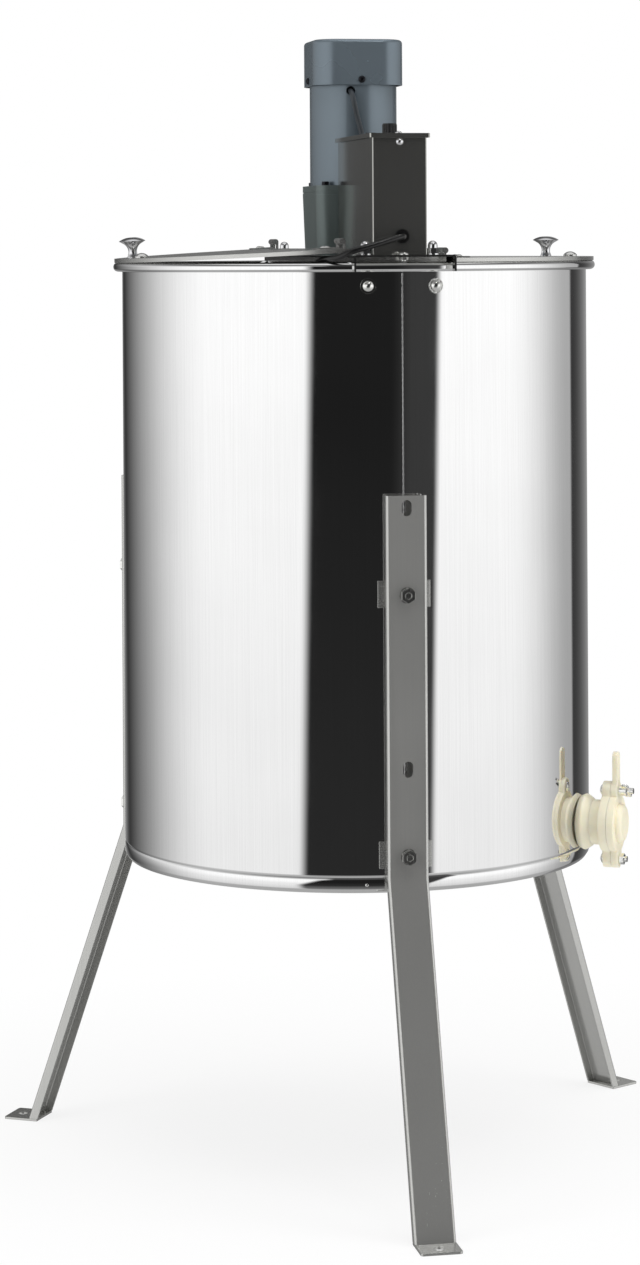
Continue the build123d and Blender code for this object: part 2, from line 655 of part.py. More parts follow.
def rocker():
    """Rocker cap with a shallow V top, resting in its off position."""
    width = 9.8
    cap = Rot(0, 90, 0) * Cylinder(8.5, width)
    cap &= block(-width, width, -9, 9, -2.2, 10)
    for side in (-1, 1):
        cap -= Pos(0, side * 6.0, 7.5 + 4.6) * Rot(side * 12, 0, 0) * Box(20, 13, 8)
    cap -= Rot(0, 90, 0) * Cylinder(1.2 + RUNNING, 20)
    return Pos(SWITCH_X, SWITCH_Y, SWITCH_PIVOT_Z) * Rot(-ROCKER_TILT, 0, 0) * cap


def grommet():
    """Rubber bush round the mains cable."""
    place = Pos(GROMMET_X, CTRL_FRONT, GROMMET_Z) * Rot(90, 0, 0)
    bush = ring(7, CABLE_R, 0, 3) + ring(6, CABLE_R, -SHEET, 0) + ring(7, CABLE_R, -SHEET - 2, -SHEET)
    return place * bush


def mains_cable():
    """Cable out of the grommet, over the bar's edge, under the raised lid and down inside the wall."""
    path = Spline(
        (GROMMET_X, CTRL_FRONT - 4, GROMMET_Z),
        (-9, -247.5, 938.5),
        (-38, -252.5, 930.5),
        (-53, -252, 926.2),
        (-62, -246.5, 921.6),
        (-70, -236.5, 919.8),
        (-74.5, -228.5, 919.2),
        (-80, -218.5, 914.5),
        (-83, -211.5, 904),
        (-84, -209, 886),
        (-84, -209, 868),
        tangents=((0, -1, 0), (0, 0, -1)),
    )
    straight = cross_cyl(CABLE_R, CTRL_FRONT - 4, CTRL_FRONT + 14, GROMMET_X, GROMMET_Z)
    return straight + sweep(Plane(path ^ 0) * Circle(CABLE_R), path=path)


def mains_plug():
    """Flat two-pin plug hanging between the drum wall and the basket."""
    angle = math.degrees(math.atan2(-209, -84))
    body = block(215.5, 234.5, -14, 14, 812, 862)
    body = fillet(body.edges(), 4)
    body += Pos(225.25, 0, 865) * Cone(6.5, 4.2, 8)
    body -= cyl(CABLE_R, 866, 870, 225.25)
    for y in (-9.5, 9.5):
        body += cyl(2.2, 794, 814, 225.25, y)
    return around(body, angle)


# ---------------------------------------------------------------- lids


def tilt_left(part):
    """Raises the left lid's inner edge, as it rests over the cable."""
    pivot = Pos(-BEAD_CENTRE_R, 0, BEAD_TOP)
    back = Pos(BEAD_CENTRE_R, 0, -BEAD_TOP)
    return pivot * Rot(0, -LID_TILT, 0) * back * part


def lid_side(part, side):
    """Mirrors a right-hand lid part to the left and tilts it there."""
    return part if side > 0 else tilt_left(mirror(part, Plane.YZ))


def hinge_axis(side):
    """X and Z of a lid's hinge axis."""
    if side > 0:
        return HINGE_X, HINGE_Z
    turn = math.radians(LID_TILT)
    along = BEAD_CENTRE_R - HINGE_X
    up = HINGE_Z - BEAD_TOP
    x = -BEAD_CENTRE_R + along * math.cos(turn) - up * math.sin(turn)
    z = BEAD_TOP + along * math.sin(turn) + up * math.cos(turn)
    return x, z


def lid():
    """Half-moon tray lid with a turned-down edge."""
    half = block(LID_EDGE_X, LID_R + 1, -LID_R - 1, LID_R + 1, LID_TOP - LID_DEEP - 1, LID_TOP + 1)
    disc = cyl(LID_R, LID_TOP - LID_DEEP, LID_TOP) & half
    room = cyl(LID_R - SHEET, LID_TOP - LID_DEEP - 1, LID_TOP - SHEET)
    room -= block(0, LID_EDGE_X + SHEET, -300, 300, LID_TOP - 20, LID_TOP + 1)
    tray = disc - (room & half)
    tray -= ring(LID_R - SHEET, DRUM_R - 2, LID_TOP - LID_DEEP - 1, BEAD_TOP + 0.2)
    tray -= cyl(2.2, LID_TOP - 5, LID_TOP + 1, *LID_KNOB_AT)
    tray -= cyl(2.2, LID_TOP - 5, LID_TOP + 1, *LID_BOLT_AT)
    for side in (-1, 1):
        for y in (-8, 8):
            tray -= cyl(1.7, LID_TOP - 5, LID_TOP + 1, 66, side * HINGE_Y + y)
    return tray


def lid_knob():
    """Turned mushroom knob."""
    outline = Polyline((5.2, 2.2), (6, 0), (0, 0), (0, 21), (2, 21))
    outline += ThreePointArc((2, 21), (8.5, 19.9), (14, 17.2))
    outline += Line((14, 17.2), (9.2, 14.5))
    outline += ThreePointArc((9.2, 14.5), (4.6, 8.0), (5.2, 2.2))
    knob = revolve(Plane.XZ * make_face(outline), Axis.Z) + cyl(2.1, -5.5, 1)
    return Pos(LID_KNOB_AT[0], LID_KNOB_AT[1], LID_TOP) * knob


def lid_leaf(hinge_y):
    """Moving hinge leaf: plate on the lid, cranked up to its knuckle."""
    half = LEAF_HALF - 2
    leaf = block(52.8, 76, hinge_y - half, hinge_y + half, LID_TOP, LID_TOP + LEAF_T)
    crank_half = KNUCKLE_HALF - 0.3
    leaf += block(52.0, 54.0, hinge_y - crank_half, hinge_y + crank_half, LID_TOP, HINGE_Z)
    leaf += cross_cyl(KNUCKLE_R, hinge_y - crank_half, hinge_y + crank_half, HINGE_X, HINGE_Z)
    leaf -= cross_cyl(HINGE_PIN_R + RUNNING, hinge_y - 20, hinge_y + 20, HINGE_X, HINGE_Z)
    for y in (-8, 8):
        leaf -= cyl(1.7, LID_TOP - 1, LID_TOP + 3, 66, hinge_y + y)
    return leaf


def lid_screws():
    """Hinge-leaf screws, and the dome-head bolt with the rubber-faced buffer under it."""
    parts = []
    for side in (-1, 1):
        for y in (-8, 8):
            screw = dome(3.2, LID_TOP + LEAF_T, 1.8) + cyl(1.65, LID_TOP - 4, LID_TOP + LEAF_T + 0.5)
            parts.append(Pos(66, side * HINGE_Y + y, 0) * screw)
    bolt = dome(7, 0, 5) + cyl(2.15, -9, 1)
    buffer = ring(8, 2.2, -8, -SHEET)
    place = Pos(LID_BOLT_AT[0], LID_BOLT_AT[1], LID_TOP)
    return parts + [place * bolt, place * buffer]


def fixed_leaf(side, hinge_y):
    """Hinge leaf on the crossbar with two outer knuckles."""
    x, z = hinge_axis(side)
    near = x - side * KNUCKLE_R
    web = sorted((near, near + side * 1.6))
    inner, outer = sorted((side * 33.0, near))
    leaf = block(inner, outer, hinge_y - LEAF_HALF, hinge_y + LEAF_HALF, BAR_TOP, BAR_TOP + LEAF_T)
    for end in (-1, 1):
        y0, y1 = sorted((hinge_y + end * KNUCKLE_HALF, hinge_y + end * LEAF_HALF))
        leaf += block(web[0], web[1], y0, y1, BAR_TOP, z)
        leaf += cross_cyl(KNUCKLE_R, y0, y1, x, z)
    leaf -= cross_cyl(HINGE_PIN_R, hinge_y - 20, hinge_y + 20, x, z)
    leaf -= block(-60, 60, hinge_y - 20, hinge_y + 20, BAR_TOP - 10, BAR_TOP)
    for y in (-9, 9):
        leaf -= cyl(1.7, BAR_TOP - 1, BAR_TOP + 3, side * 39, hinge_y + y)
    return leaf


def hinge_pin(side, hinge_y):
    x, z = hinge_axis(side)
    return cross_cyl(HINGE_PIN_R, hinge_y - LEAF_HALF, hinge_y + LEAF_HALF, x, z)


# ---------------------------------------------------------------- honey gate


def gate_outline(ear_low, ear_high):
    """Round plate with an ear below and above, drawn in the plane across the gate's axis."""
    ears = Pos(0, (ear_high - ear_low) / 2) * Rectangle(2 * GATE_EAR_R, ear_high + ear_low)
    outline = Circle(GATE_FLANGE_R) + ears
    outline += Pos(0, -ear_low) * Circle(GATE_EAR_R)
    return outline + Pos(0, ear_high) * Circle(GATE_EAR_R)


def gate_plate(outline, near, far):
    """Extrudes a gate outline along +X between two distances."""
    return Pos(near, 0, GATE_Z) * extrude(Plane.YZ * outline, amount=far - near)


def gate_body():
    """Moulded spout: threaded neck through the wall and an eared face."""
    outline = gate_outline(GATE_PIVOT_DROP, GATE_CLAMP_RISE)
    body = gate_plate(outline, GATE_FLANGE_IN, GATE_FACE)
    body += out_cyl(GATE_NECK_R, 227, GATE_FLANGE_IN + 1, z=GATE_Z)
    body += out_cyl(22.5, GATE_RING_OUT, GATE_FLANGE_IN + 1, z=GATE_Z)
    body = body - out_cyl(GATE_BORE_R, 220, GATE_FACE + 1, z=GATE_Z)
    for height in (GATE_Z - GATE_PIVOT_DROP, GATE_Z + GATE_CLAMP_RISE):
        body -= out_cyl(M6_R + 0.1, GATE_FLANGE_IN - 1, GATE_FACE + 1, z=height)
    return body


def gate_ring_nuts():
    """Ring nut outside the wall, shaped to the drum, and a lock ring inside."""
    outside = out_cyl(GATE_RING_R, 236, GATE_RING_OUT, z=GATE_Z)
    outside = fillet(outside.edges().group_by(Axis.X)[-1], 2.5)
    outside -= cyl(DRUM_R, GATE_Z - 40, GATE_Z + 40)
    outside -= out_cyl(GATE_NECK_R, 220, 260, z=GATE_Z)
    inside = out_cyl(24, 230, 240, z=GATE_Z) & cyl(DRUM_IN_R, GATE_Z - 40, GATE_Z + 40)
    inside -= out_cyl(GATE_NECK_R, 220, 260, z=GATE_Z)
    return outside, inside


def gate_blade():
    """Swinging blade with a bulged front, a thumb tab and a side slot for the clamp bolt."""
    outline = gate_outline(GATE_PIVOT_DROP, GATE_CLAMP_RISE)
    blade = gate_plate(outline, GATE_FACE + RUNNING, BLADE_FRONT)
    tab = Pos(0, (GATE_CLAMP_RISE + TAB_TOP) / 2) * Rectangle(13, TAB_TOP - GATE_CLAMP_RISE)
    tab = fillet(tab.vertices().group_by(Axis.Y)[-1], 5)
    blade += gate_plate(tab, GATE_FACE + 1.5, BLADE_FRONT - 0.5)
    bulge = out_cyl(19.5, BLADE_FRONT - 1, BULGE_FRONT, z=GATE_Z)
    blade += fillet(bulge.edges().group_by(Axis.X)[-1], 5)
    blade -= out_cyl(M6_R + RUNNING, 270, 290, z=GATE_Z - GATE_PIVOT_DROP)
    blade -= out_cyl(M6_R + 0.4, 270, 290, z=GATE_Z + GATE_CLAMP_RISE)
    slot_low = GATE_Z + GATE_CLAMP_RISE - 5.0
    slot_high = GATE_Z + GATE_CLAMP_RISE + M6_R + 0.4
    return blade - block(270, 282, 0, 30, slot_low, slot_high)


def gate_bolts():
    """Pivot bolt with its nut, and the clamp bolt that the wing nut runs on."""
    head_at = GATE_FLANGE_IN
    parts = []
    for height, end in ((GATE_Z - GATE_PIVOT_DROP, 288.0), (GATE_Z + GATE_CLAMP_RISE, 295.0)):
        bolt = dome(5.5, 0, 3.6)
        head = Pos(head_at, 0, height) * Rot(0, -90, 0) * bolt
        parts.append(head + out_cyl(M6_R, head_at - 1, end, z=height))
    nut = hexagon(10, 0, 5) - cyl(M6_R, -1, 6)
    parts.append(Pos(BLADE_FRONT + 0.1, 0, GATE_Z - GATE_PIVOT_DROP) * facing_out(nut))
    return parts


def wing_nut():
    """Wing nut on the clamp bolt."""
    near = BLADE_FRONT + 0.1
    hub = out_cyl(5.2, near, near + 8)
    wings = hub
    for side in (-1, 1):
        wing = block(near + 4, near + 11, side * 8.2 - 3.6, side * 8.2 + 3.6, -1.2, 1.2)
        wings += fillet(wing.edges().filter_by(Axis.Z), 2.2)
    wings -= out_cyl(M6_R + RUNNING, near - 1, near + 30)
    return Pos(0, 0, GATE_Z + GATE_CLAMP_RISE) * Rot(-35, 0, 0) * wings


# ---------------------------------------------------------------- basket


def shaft_coupling():
    """Clamp sleeve between the output shaft and the basket shaft, with two set screws."""
    sleeve = ring(17, OUTPUT_R, 890, 908) + ring(17, BASKET_SHAFT_R, 872, 890)
    screws = []
    for height in (900.0, 881.0):
        hole = out_cyl(2.5, 5, 20, z=height)
        inner = OUTPUT_R if height > 890 else BASKET_SHAFT_R
        sleeve -= hole
        screws.append(out_cyl(2.45, inner, 16.5, z=height))
    return [sleeve] + screws


def octagon(half_w, reach):
    """Outline with a long side outside each screen and a short one across each corner."""
    quarter = [(-half_w, -reach), (half_w, -reach)]
    points = []
    for _ in range(4):
        points += quarter
        quarter = [(-y, x) for x, y in quarter]
    return make_face(Polyline(*points, close=True))


def hubs():
    """Welded hubs that grip the shaft at the top and bottom rings."""
    return [ring(18, BASKET_SHAFT_R, height - 6, height + 6) for height in (BASKET_LOW, BASKET_HIGH)]


def posts():
    """Round posts beside each screen and at each inner corner."""
    outer_y = -OUTER_RING + BAND_T / 2
    quarter = [cyl(POST_R, BASKET_LOW, BASKET_HIGH, x, outer_y) for x in (-SCREEN_HALF_W, SCREEN_HALF_W)]
    quarter.append(cyl(POST_R, BASKET_LOW, BASKET_HIGH, INNER_RING - 1, INNER_RING - 1))
    return [around(post, turn * 90) for turn in range(4) for post in quarter]


def arms():
    """Diagonal arms from each hub to the outer band."""
    reach = (SCREEN_HALF_W - BAND_INSET + OUTER_RING - BAND_T) / math.sqrt(2)
    half = BAND_H / 2 - 1
    bars = [block(12, reach, -2.5, 2.5, height - half, height + half) for height in (BASKET_LOW, BASKET_HIGH)]
    return [around(bar, 45 + turn * 90) for turn in range(4) for bar in bars]


def inner_bars():
    """Square of flat bars inside the combs, at the top and the bottom."""
    half = BAND_H / 2
    end = INNER_RING - BAND_T
    bars = []
    for height in (BASKET_LOW, BASKET_HIGH):
        bar = block(-INNER_RING, end, -INNER_RING, -end, height - half, height + half)
        bars += [around(bar, turn * 90) for turn in range(4)]
    return bars


def outer_bars():
    """Flat octagonal bands outside the screens: a long bar at each side, a short one at each corner."""
    half = BAND_H / 2
    inner = octagon(SCREEN_HALF_W - BAND_INSET, OUTER_RING - BAND_T)
    bars = []
    for height in (BASKET_LOW, (BASKET_LOW + BASKET_HIGH) / 2, BASKET_HIGH):
        low = height - half
        side = block(-SCREEN_HALF_W, SCREEN_HALF_W, -OUTER_RING, -OUTER_RING + BAND_T, low, low + BAND_H)
        sides = [around(side, turn * 90) for turn in range(4)]
        band = Pos(0, 0, low) * extrude(octagon(SCREEN_HALF_W, OUTER_RING) - inner, amount=BAND_H)
        bars += sides + (band - sides).solids()
    return bars


def comb_supports():
    """Short bars under each comb, between the inner and outer rings."""
    half = BAND_H / 2
    bars = []
    for x in (-80, 80):
        bar = block(x - 2, x + 2, -OUTER_RING + BAND_T, -INNER_RING, BASKET_LOW - half, BASKET_LOW + half)
        bars += [around(bar, turn * 90) for turn in range(4)]
    return bars


def basket_frame():
    """Welded frame of butted bars, each trimmed to the ones placed before it."""
    placed = hubs()
    for group in (posts(), arms(), inner_bars(), outer_bars(), comb_supports()):
        placed += [solid for bar in group for solid in (bar - placed).solids()]
    return placed


def basket_screen():
    """Perforated sheet that carries the comb's outer face."""
    columns = 9
    rows = 18
    bar = 2.4
    low = BASKET_LOW + BAND_H / 2
    high = BASKET_HIGH - BAND_H / 2
    width = 2 * (SCREEN_HALF_W - POST_R)
    pitch_x = (width - bar) / columns
    pitch_z = (high - low - bar) / rows
    sheet = Rectangle(width, high - low)
    windows = GridLocations(pitch_x, pitch_z, columns, rows) * Rectangle(pitch_x - bar, pitch_z - bar)
    lattice = extrude(Plane.XZ * (sheet - windows), amount=1.0)
    return Pos(0, -OUTER_RING + BAND_T + 1.0, (low + high) / 2) * lattice


# ---------------------------------------------------------------- assembly


def write_stand():
    write("drum_shell", drum_shell())
    write("drum_floor", drum_floor())
    write("bottom_bearing", *bottom_bearing())
    for name, angle in zip(("leg_front", "leg_right", "leg_left"), LEG_ANGLES):
        write(name, around(leg(), angle))
    write("foot_plates", *[around(foot_plate(), angle) for angle in LEG_ANGLES])
    places = [(angle, height) for angle in LEG_ANGLES for height in BOLT_HEIGHTS]
    write("leg_brackets", *[around(leg_bracket(height), angle) for angle, height in places])
    write("leg_bolts", *[around(leg_bolt(height), angle) for angle, height in places])
    write("leg_nuts", *[around(leg_nut(height), angle) for angle, height in places])


def write_crossbar():
    write("crossbar", crossbar())
    write("crossbar_brackets", crossbar_bracket(1), crossbar_bracket(-1))
    write("wall_bolts", *[part for angle in wall_bolt_angles() for part in wall_bolt(angle)])
    write("crossbar_bolts", *crossbar_bolts())
    studs = [(x, y) for x in (-STUD_X, STUD_X) for y in (-STUD_Y, STUD_Y)]
    write("acorn_nuts", *[part for x, y in studs for part in acorn_nut(x, y)])


def write_drive():
    write("gearbox_housing", gearbox_housing())
    write("gearbox_cover", gearbox_cover())
    write("gearbox_screws", *gearbox_screws())
    write("drive_bearings", *drive_bearings())
    write("output_shaft", cyl(OUTPUT_R, 890, 955))
    write("output_gear", Pos(0, 0, 938) * gear(GEAR_TEETH, 12, OUTPUT_R))
    write("countershaft", countershaft())
    write("countershaft_gear", Pos(GEAR_CENTRES, 0, 963) * gear(GEAR_TEETH, 10, COUNTER_R))
    write("motor_shaft", motor_shaft())
    write("motor_housing", motor_housing())
    write("motor_end_shield", motor_end_shield())
    write("stator", stator())
    write("rotor_core", ring(23.5, MOTOR_SHAFT_R, 1010, 1070))
    write("cooling_fan", cooling_fan())
    write("fan_cover", fan_cover())
    write("fan_cover_screws", *[around(fan_cover_screw(), angle) for angle in (0, 90, 180, 270)])
    write("motor_cable", motor_cable())


def write_controls():
    write("control_box", control_box())
    write("box_cover", box_cover())
    write("box_screws", *box_screws())
    write("speed_control", *speed_control())
    write("speed_knob", speed_knob())
    write("switch_body", switch_body())
    write("rocker", rocker())
    write("cable_grommet", grommet())
    write("mains_lead", mains_cable(), mains_plug())


def write_lids():
    ends = (-HINGE_Y, HINGE_Y)
    for name, side in (("right", 1), ("left", -1)):
        write("lid_" + name, lid_side(lid(), side))
        write("lid_" + name + "_knob", lid_side(lid_knob(), side))
        write("lid_" + name + "_leaves", *[lid_side(lid_leaf(y), side) for y in ends])
        write("lid_" + name + "_screws", *[lid_side(part, side) for part in lid_screws()])
    corners = [(side, y) for side in (-1, 1) for y in ends]
    write("hinge_leaves", *[fixed_leaf(side, y) for side, y in corners])
    write("hinge_pins", *[hinge_pin(side, y) for side, y in corners])


def write_gate():
    write("gate_body", around(gate_body(), GATE_ANGLE))
    write("gate_ring_nuts", *[around(part, GATE_ANGLE) for part in gate_ring_nuts()])
    write("gate_blade", around(gate_blade(), GATE_ANGLE))
    write("gate_bolts", *[around(part, GATE_ANGLE) for part in gate_bolts()])
    write("wing_nut", around(wing_nut(), GATE_ANGLE))


def write_basket():
    write("shaft_coupling", *shaft_coupling())
    write("basket_shaft", cyl(BASKET_SHAFT_R, PAN_TOP_Z + 14, 890))
    write("basket_frame", *basket_frame())
    write("basket_screens", *[around(basket_screen(), turn * 90) for turn in range(4)])


os.makedirs("parts", exist_ok=True)
write_stand()
write_crossbar()
write_drive()
write_controls()
write_lids()
write_gate()
write_basket()
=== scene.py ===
import json
import math
import random

import bmesh
import bpy
from mathutils import Matrix, Vector


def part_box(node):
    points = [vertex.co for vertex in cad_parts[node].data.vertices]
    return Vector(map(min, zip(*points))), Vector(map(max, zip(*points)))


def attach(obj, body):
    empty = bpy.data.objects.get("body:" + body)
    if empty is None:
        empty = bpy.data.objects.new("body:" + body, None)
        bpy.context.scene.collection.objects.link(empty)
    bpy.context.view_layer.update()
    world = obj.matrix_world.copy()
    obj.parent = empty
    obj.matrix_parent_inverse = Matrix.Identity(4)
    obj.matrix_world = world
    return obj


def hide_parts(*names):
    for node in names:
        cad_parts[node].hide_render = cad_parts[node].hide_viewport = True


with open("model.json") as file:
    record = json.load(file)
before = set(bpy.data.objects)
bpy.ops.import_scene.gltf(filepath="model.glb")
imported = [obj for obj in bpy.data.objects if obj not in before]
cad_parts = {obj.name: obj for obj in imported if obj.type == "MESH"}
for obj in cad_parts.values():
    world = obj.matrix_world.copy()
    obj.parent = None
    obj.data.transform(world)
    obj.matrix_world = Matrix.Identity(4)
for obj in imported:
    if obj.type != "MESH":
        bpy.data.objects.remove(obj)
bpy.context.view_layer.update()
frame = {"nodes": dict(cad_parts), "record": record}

MM = 0.001
DRUM_LOW, DRUM_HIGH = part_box("drum_shell")
BEAD_R = 4.8 * MM
BEAD_OUT = DRUM_HIGH.x
DRUM_R = BEAD_OUT - 2 * BEAD_R + 0.4 * MM
WALL = 1.2 * MM
FRONT = math.radians(-90)
GATE_ANGLE = math.radians(-30)
GATE_HOLE_R = 20.2 * MM

# The camera stands level at the height of the crossbar, a little left of the machine's front.
CAMERA_TURN = math.radians(11.2)
CAMERA_DISTANCE = 3.489
CAMERA_HEIGHT = 0.933
CAMERA_LENS = 95.69
CAMERA_ROLL = math.radians(-0.32)
CAMERA_SHIFT_X = -0.0268
CAMERA_SHIFT_Y = -0.3065


# ---------------------------------------------------------------- node helpers


class Nodes:
    """Short calls for building one material's or the world's node tree."""

    def __init__(self, tree):
        self.tree = tree

    def add(self, kind, **settings):
        node = self.tree.nodes.new("ShaderNode" + kind)
        for key, value in settings.items():
            setattr(node, key, value)
        return node

    def link(self, source, target):
        self.tree.links.new(source, target)

    def feed(self, socket, value):
        """Sets a socket from a number, a colour, a vector or another node's output."""
        if isinstance(value, bpy.types.NodeSocket):
            self.link(value, socket)
        else:
            socket.default_value = value

    def math(self, operation, a, b=0.0):
        node = self.add("Math", operation=operation)
        self.feed(node.inputs[0], a)
        self.feed(node.inputs[1], b)
        return node.outputs[0]

    def remap(self, value, low, high, to_low, to_high):
        node = self.add("MapRange")
        node.clamp = True
        for index, item in enumerate((value, low, high, to_low, to_high)):
            self.feed(node.inputs[index], item)
        return node.outputs[0]

    def fade(self, turn, angles, levels):
        """A level that changes smoothly between two angles, given in degrees."""
        node = self.add("MapRange", interpolation_type="SMOOTHSTEP")
        start, end = angles
        for index, item in enumerate((turn, math.radians(start), math.radians(end), *levels)):
            self.feed(node.inputs[index], item)
        return node.outputs[0]

    def mix(self, factor, a, b):
        node = self.add("Mix", data_type="RGBA")
        self.feed(node.inputs["Factor"], factor)
        self.feed(node.inputs[6], a)
        self.feed(node.inputs[7], b)
        return node.outputs[2]

    def place(self, scale=(1, 1, 1), rotation=(0, 0, 0)):
        """Position in the row frame, in metres, stretched by a scale for each axis."""
        coordinates = self.add("TexCoord")
        mapping = self.add("Mapping")
        self.link(coordinates.outputs["Object"], mapping.inputs["Vector"])
        mapping.inputs["Scale"].default_value = scale
        mapping.inputs["Rotation"].default_value = rotation
        return mapping.outputs["Vector"]

    def noise(self, vector, scale, detail=3.0, rough=0.5):
        node = self.add("TexNoise")
        self.link(vector, node.inputs["Vector"])
        node.inputs["Scale"].default_value = scale
        node.inputs["Detail"].default_value = detail
        node.inputs["Roughness"].default_value = rough
        return node.outputs["Fac"]

    def bump(self, height, distance, strength=1.0, normal=None):
        node = self.add("Bump")
        self.link(height, node.inputs["Height"])
        node.inputs["Distance"].default_value = distance
        node.inputs["Strength"].default_value = strength
        if normal is not None:
            self.link(normal, node.inputs["Normal"])
        return node.outputs["Normal"]


def linear(red, green, blue):
    """A display colour of 0 to 255 as a linear colour."""
    values = [channel / 255 for channel in (red, green, blue)]
    values = [v / 12.92 if v <= 0.04045 else ((v + 0.055) / 1.055) ** 2.4 for v in values]
    return (*values, 1.0)


def scaled(colour, factor):
    """A linear colour made brighter or darker."""
    return (*[min(1.0, channel * factor) for channel in colour[:3]], 1.0)


def new_material(name):
    """A material, its node helper and its main shader."""
    made = bpy.data.materials.new(name)
    made.use_nodes = True
    return made, Nodes(made.node_tree), made.node_tree.nodes["Principled BSDF"]


# ---------------------------------------------------------------- materials


def metal(name, colour, rough, grain_scale, grain, grain_depth, wave=0.0, spots=0.0, metallic=1.0):
    """Bare metal with a directional grain, slow colour drift and optional waviness of the sheet."""
    made, n, shader = new_material(name)
    shader.inputs["Metallic"].default_value = metallic
    fine = n.noise(n.place(grain_scale), 1.0, 4.0, 0.65)
    slow = n.noise(n.place((1, 1, 1)), 9.0, 3.0)
    tone = n.mix(slow, scaled(colour, 0.93), scaled(colour, 1.04))
    lines = n.remap(fine, 0.3, 0.7, 0.0, 0.35)
    n.feed(shader.inputs["Base Color"], n.mix(lines, tone, scaled(colour, 0.82)))
    drift = n.remap(slow, 0.3, 0.7, -0.02, 0.02)
    streak = n.remap(fine, 0.3, 0.7, -grain, grain)
    roughness = n.math("ADD", n.math("ADD", drift, streak), rough)
    if spots:
        worn = n.noise(n.place((1, 1, 1)), 260.0, 2.0)
        roughness = n.math("ADD", roughness, n.remap(worn, 0.55, 0.75, 0.0, spots))
    n.feed(shader.inputs["Roughness"], n.math("MAXIMUM", roughness, 0.03))
    normal = n.bump(fine, grain_depth)
    if wave:
        normal = n.bump(n.noise(n.place((1, 1, 0.35)), 7.0, 1.0), wave, normal=normal)
    n.feed(shader.inputs["Normal"], normal)
    return made


def brushed_sheet(name, colour, rough, grain_scale, metallic):
    """Brushed stainless: a stronger grain that also scatters light evenly."""
    return metal(name, colour, rough, grain_scale, grain=0.06, grain_depth=3e-6, metallic=metallic)


def paint(name, colour, rough, metallic, peel=8.0e-6, peel_scale=420.0, wear=0.25):
    """Sprayed metallic enamel: orange peel, slight colour drift, paler rubbed edges."""
    made, n, shader = new_material(name)
    shader.inputs["Metallic"].default_value = metallic
    drift = n.noise(n.place(), 14.0, 3.0)
    base = n.mix(drift, scaled(colour, 0.90), scaled(colour, 1.08))
    rounded = n.add("Bevel")
    rounded.inputs["Radius"].default_value = 0.8 * MM
    turned = n.add("VectorMath", operation="DOT_PRODUCT")
    n.link(rounded.outputs["Normal"], turned.inputs[0])
    n.link(n.add("NewGeometry").outputs["Normal"], turned.inputs[1])
    edge = n.remap(turned.outputs["Value"], 0.99, 0.90, 0.0, wear)
    rub = n.math("MULTIPLY", edge, n.noise(n.place(), 240.0, 4.0))
    n.feed(shader.inputs["Base Color"], n.mix(rub, base, scaled(colour, 1.8)))
    peel_height = n.noise(n.place(rotation=(0.5, 0.7, 0.3)), peel_scale, 1.0)
    n.feed(shader.inputs["Roughness"], n.remap(drift, 0.2, 0.8, rough - 0.05, rough + 0.06))
    n.feed(shader.inputs["Normal"], n.bump(peel_height, peel))
    return made


def nylon(name, colour):
    """Ivory moulded nylon: light passes into it, faint flow marks, satin surface."""
    made, n, shader = new_material(name)
    flow = n.noise(n.place((1, 1, 3)), 35.0, 4.0)
    n.feed(shader.inputs["Base Color"], n.mix(flow, scaled(colour, 0.93), scaled(colour, 1.04)))
    shader.inputs["Subsurface Weight"].default_value = 0.35
    shader.inputs["Subsurface Radius"].default_value = (1.0, 0.8, 0.5)
    shader.inputs["Subsurface Scale"].default_value = 0.004
    texture = n.noise(n.place(), 700.0, 3.0)
    n.feed(shader.inputs["Roughness"], n.remap(flow, 0.2, 0.8, 0.34, 0.46))
    n.feed(shader.inputs["Normal"], n.bump(texture, 2.0e-5))
    return made


def moulded(name, colour, rough, texture_depth=2.5e-5, texture_scale=1400.0):
    """Moulded plastic or rubber with a fine tool texture and dusty, paler patches."""
    made, n, shader = new_material(name)
    dust = n.noise(n.place(), 60.0, 4.0)
    patches = n.remap(dust, 0.5, 0.8, 0.0, 0.5)
    n.feed(shader.inputs["Base Color"], n.mix(patches, colour, scaled(colour, 2.2)))
    n.feed(shader.inputs["Roughness"], n.remap(dust, 0.2, 0.8, rough - 0.06, rough + 0.08))
    n.feed(shader.inputs["Normal"], n.bump(n.noise(n.place(), texture_scale, 2.0), texture_depth))
    return made


def laminated(name):
    """Stacked sheet-iron laminations, seen as fine lines across the axis."""
    made, n, shader = new_material(name)
    shader.inputs["Metallic"].default_value = 0.8
    lines = n.add("TexWave", bands_direction="Z")
    n.link(n.place(), lines.inputs["Vector"])
    lines.inputs["Scale"].default_value = 320.0
    dark, pale = linear(60, 60, 66), linear(110, 110, 116)
    n.feed(shader.inputs["Base Color"], n.mix(lines.outputs["Fac"], dark, pale))
    shader.inputs["Roughness"].default_value = 0.5
    n.feed(shader.inputs["Normal"], n.bump(lines.outputs["Fac"], 5e-5))
    return made


def circuit_board(name):
    """Green board with a grid of paler tracks."""
    made, n, shader = new_material(name)
    brick = n.add("TexBrick")
    n.link(n.place(), brick.inputs["Vector"])
    brick.inputs["Scale"].default_value = 160.0
    brick.inputs["Color1"].default_value = linear(22, 92, 52)
    brick.inputs["Color2"].default_value = linear(30, 106, 60)
    brick.inputs["Mortar"].default_value = linear(96, 140, 84)
    n.feed(shader.inputs["Base Color"], brick.outputs["Color"])
    shader.inputs["Roughness"].default_value = 0.3
    n.feed(shader.inputs["Normal"], n.bump(brick.outputs["Fac"], 3e-5))
    return made


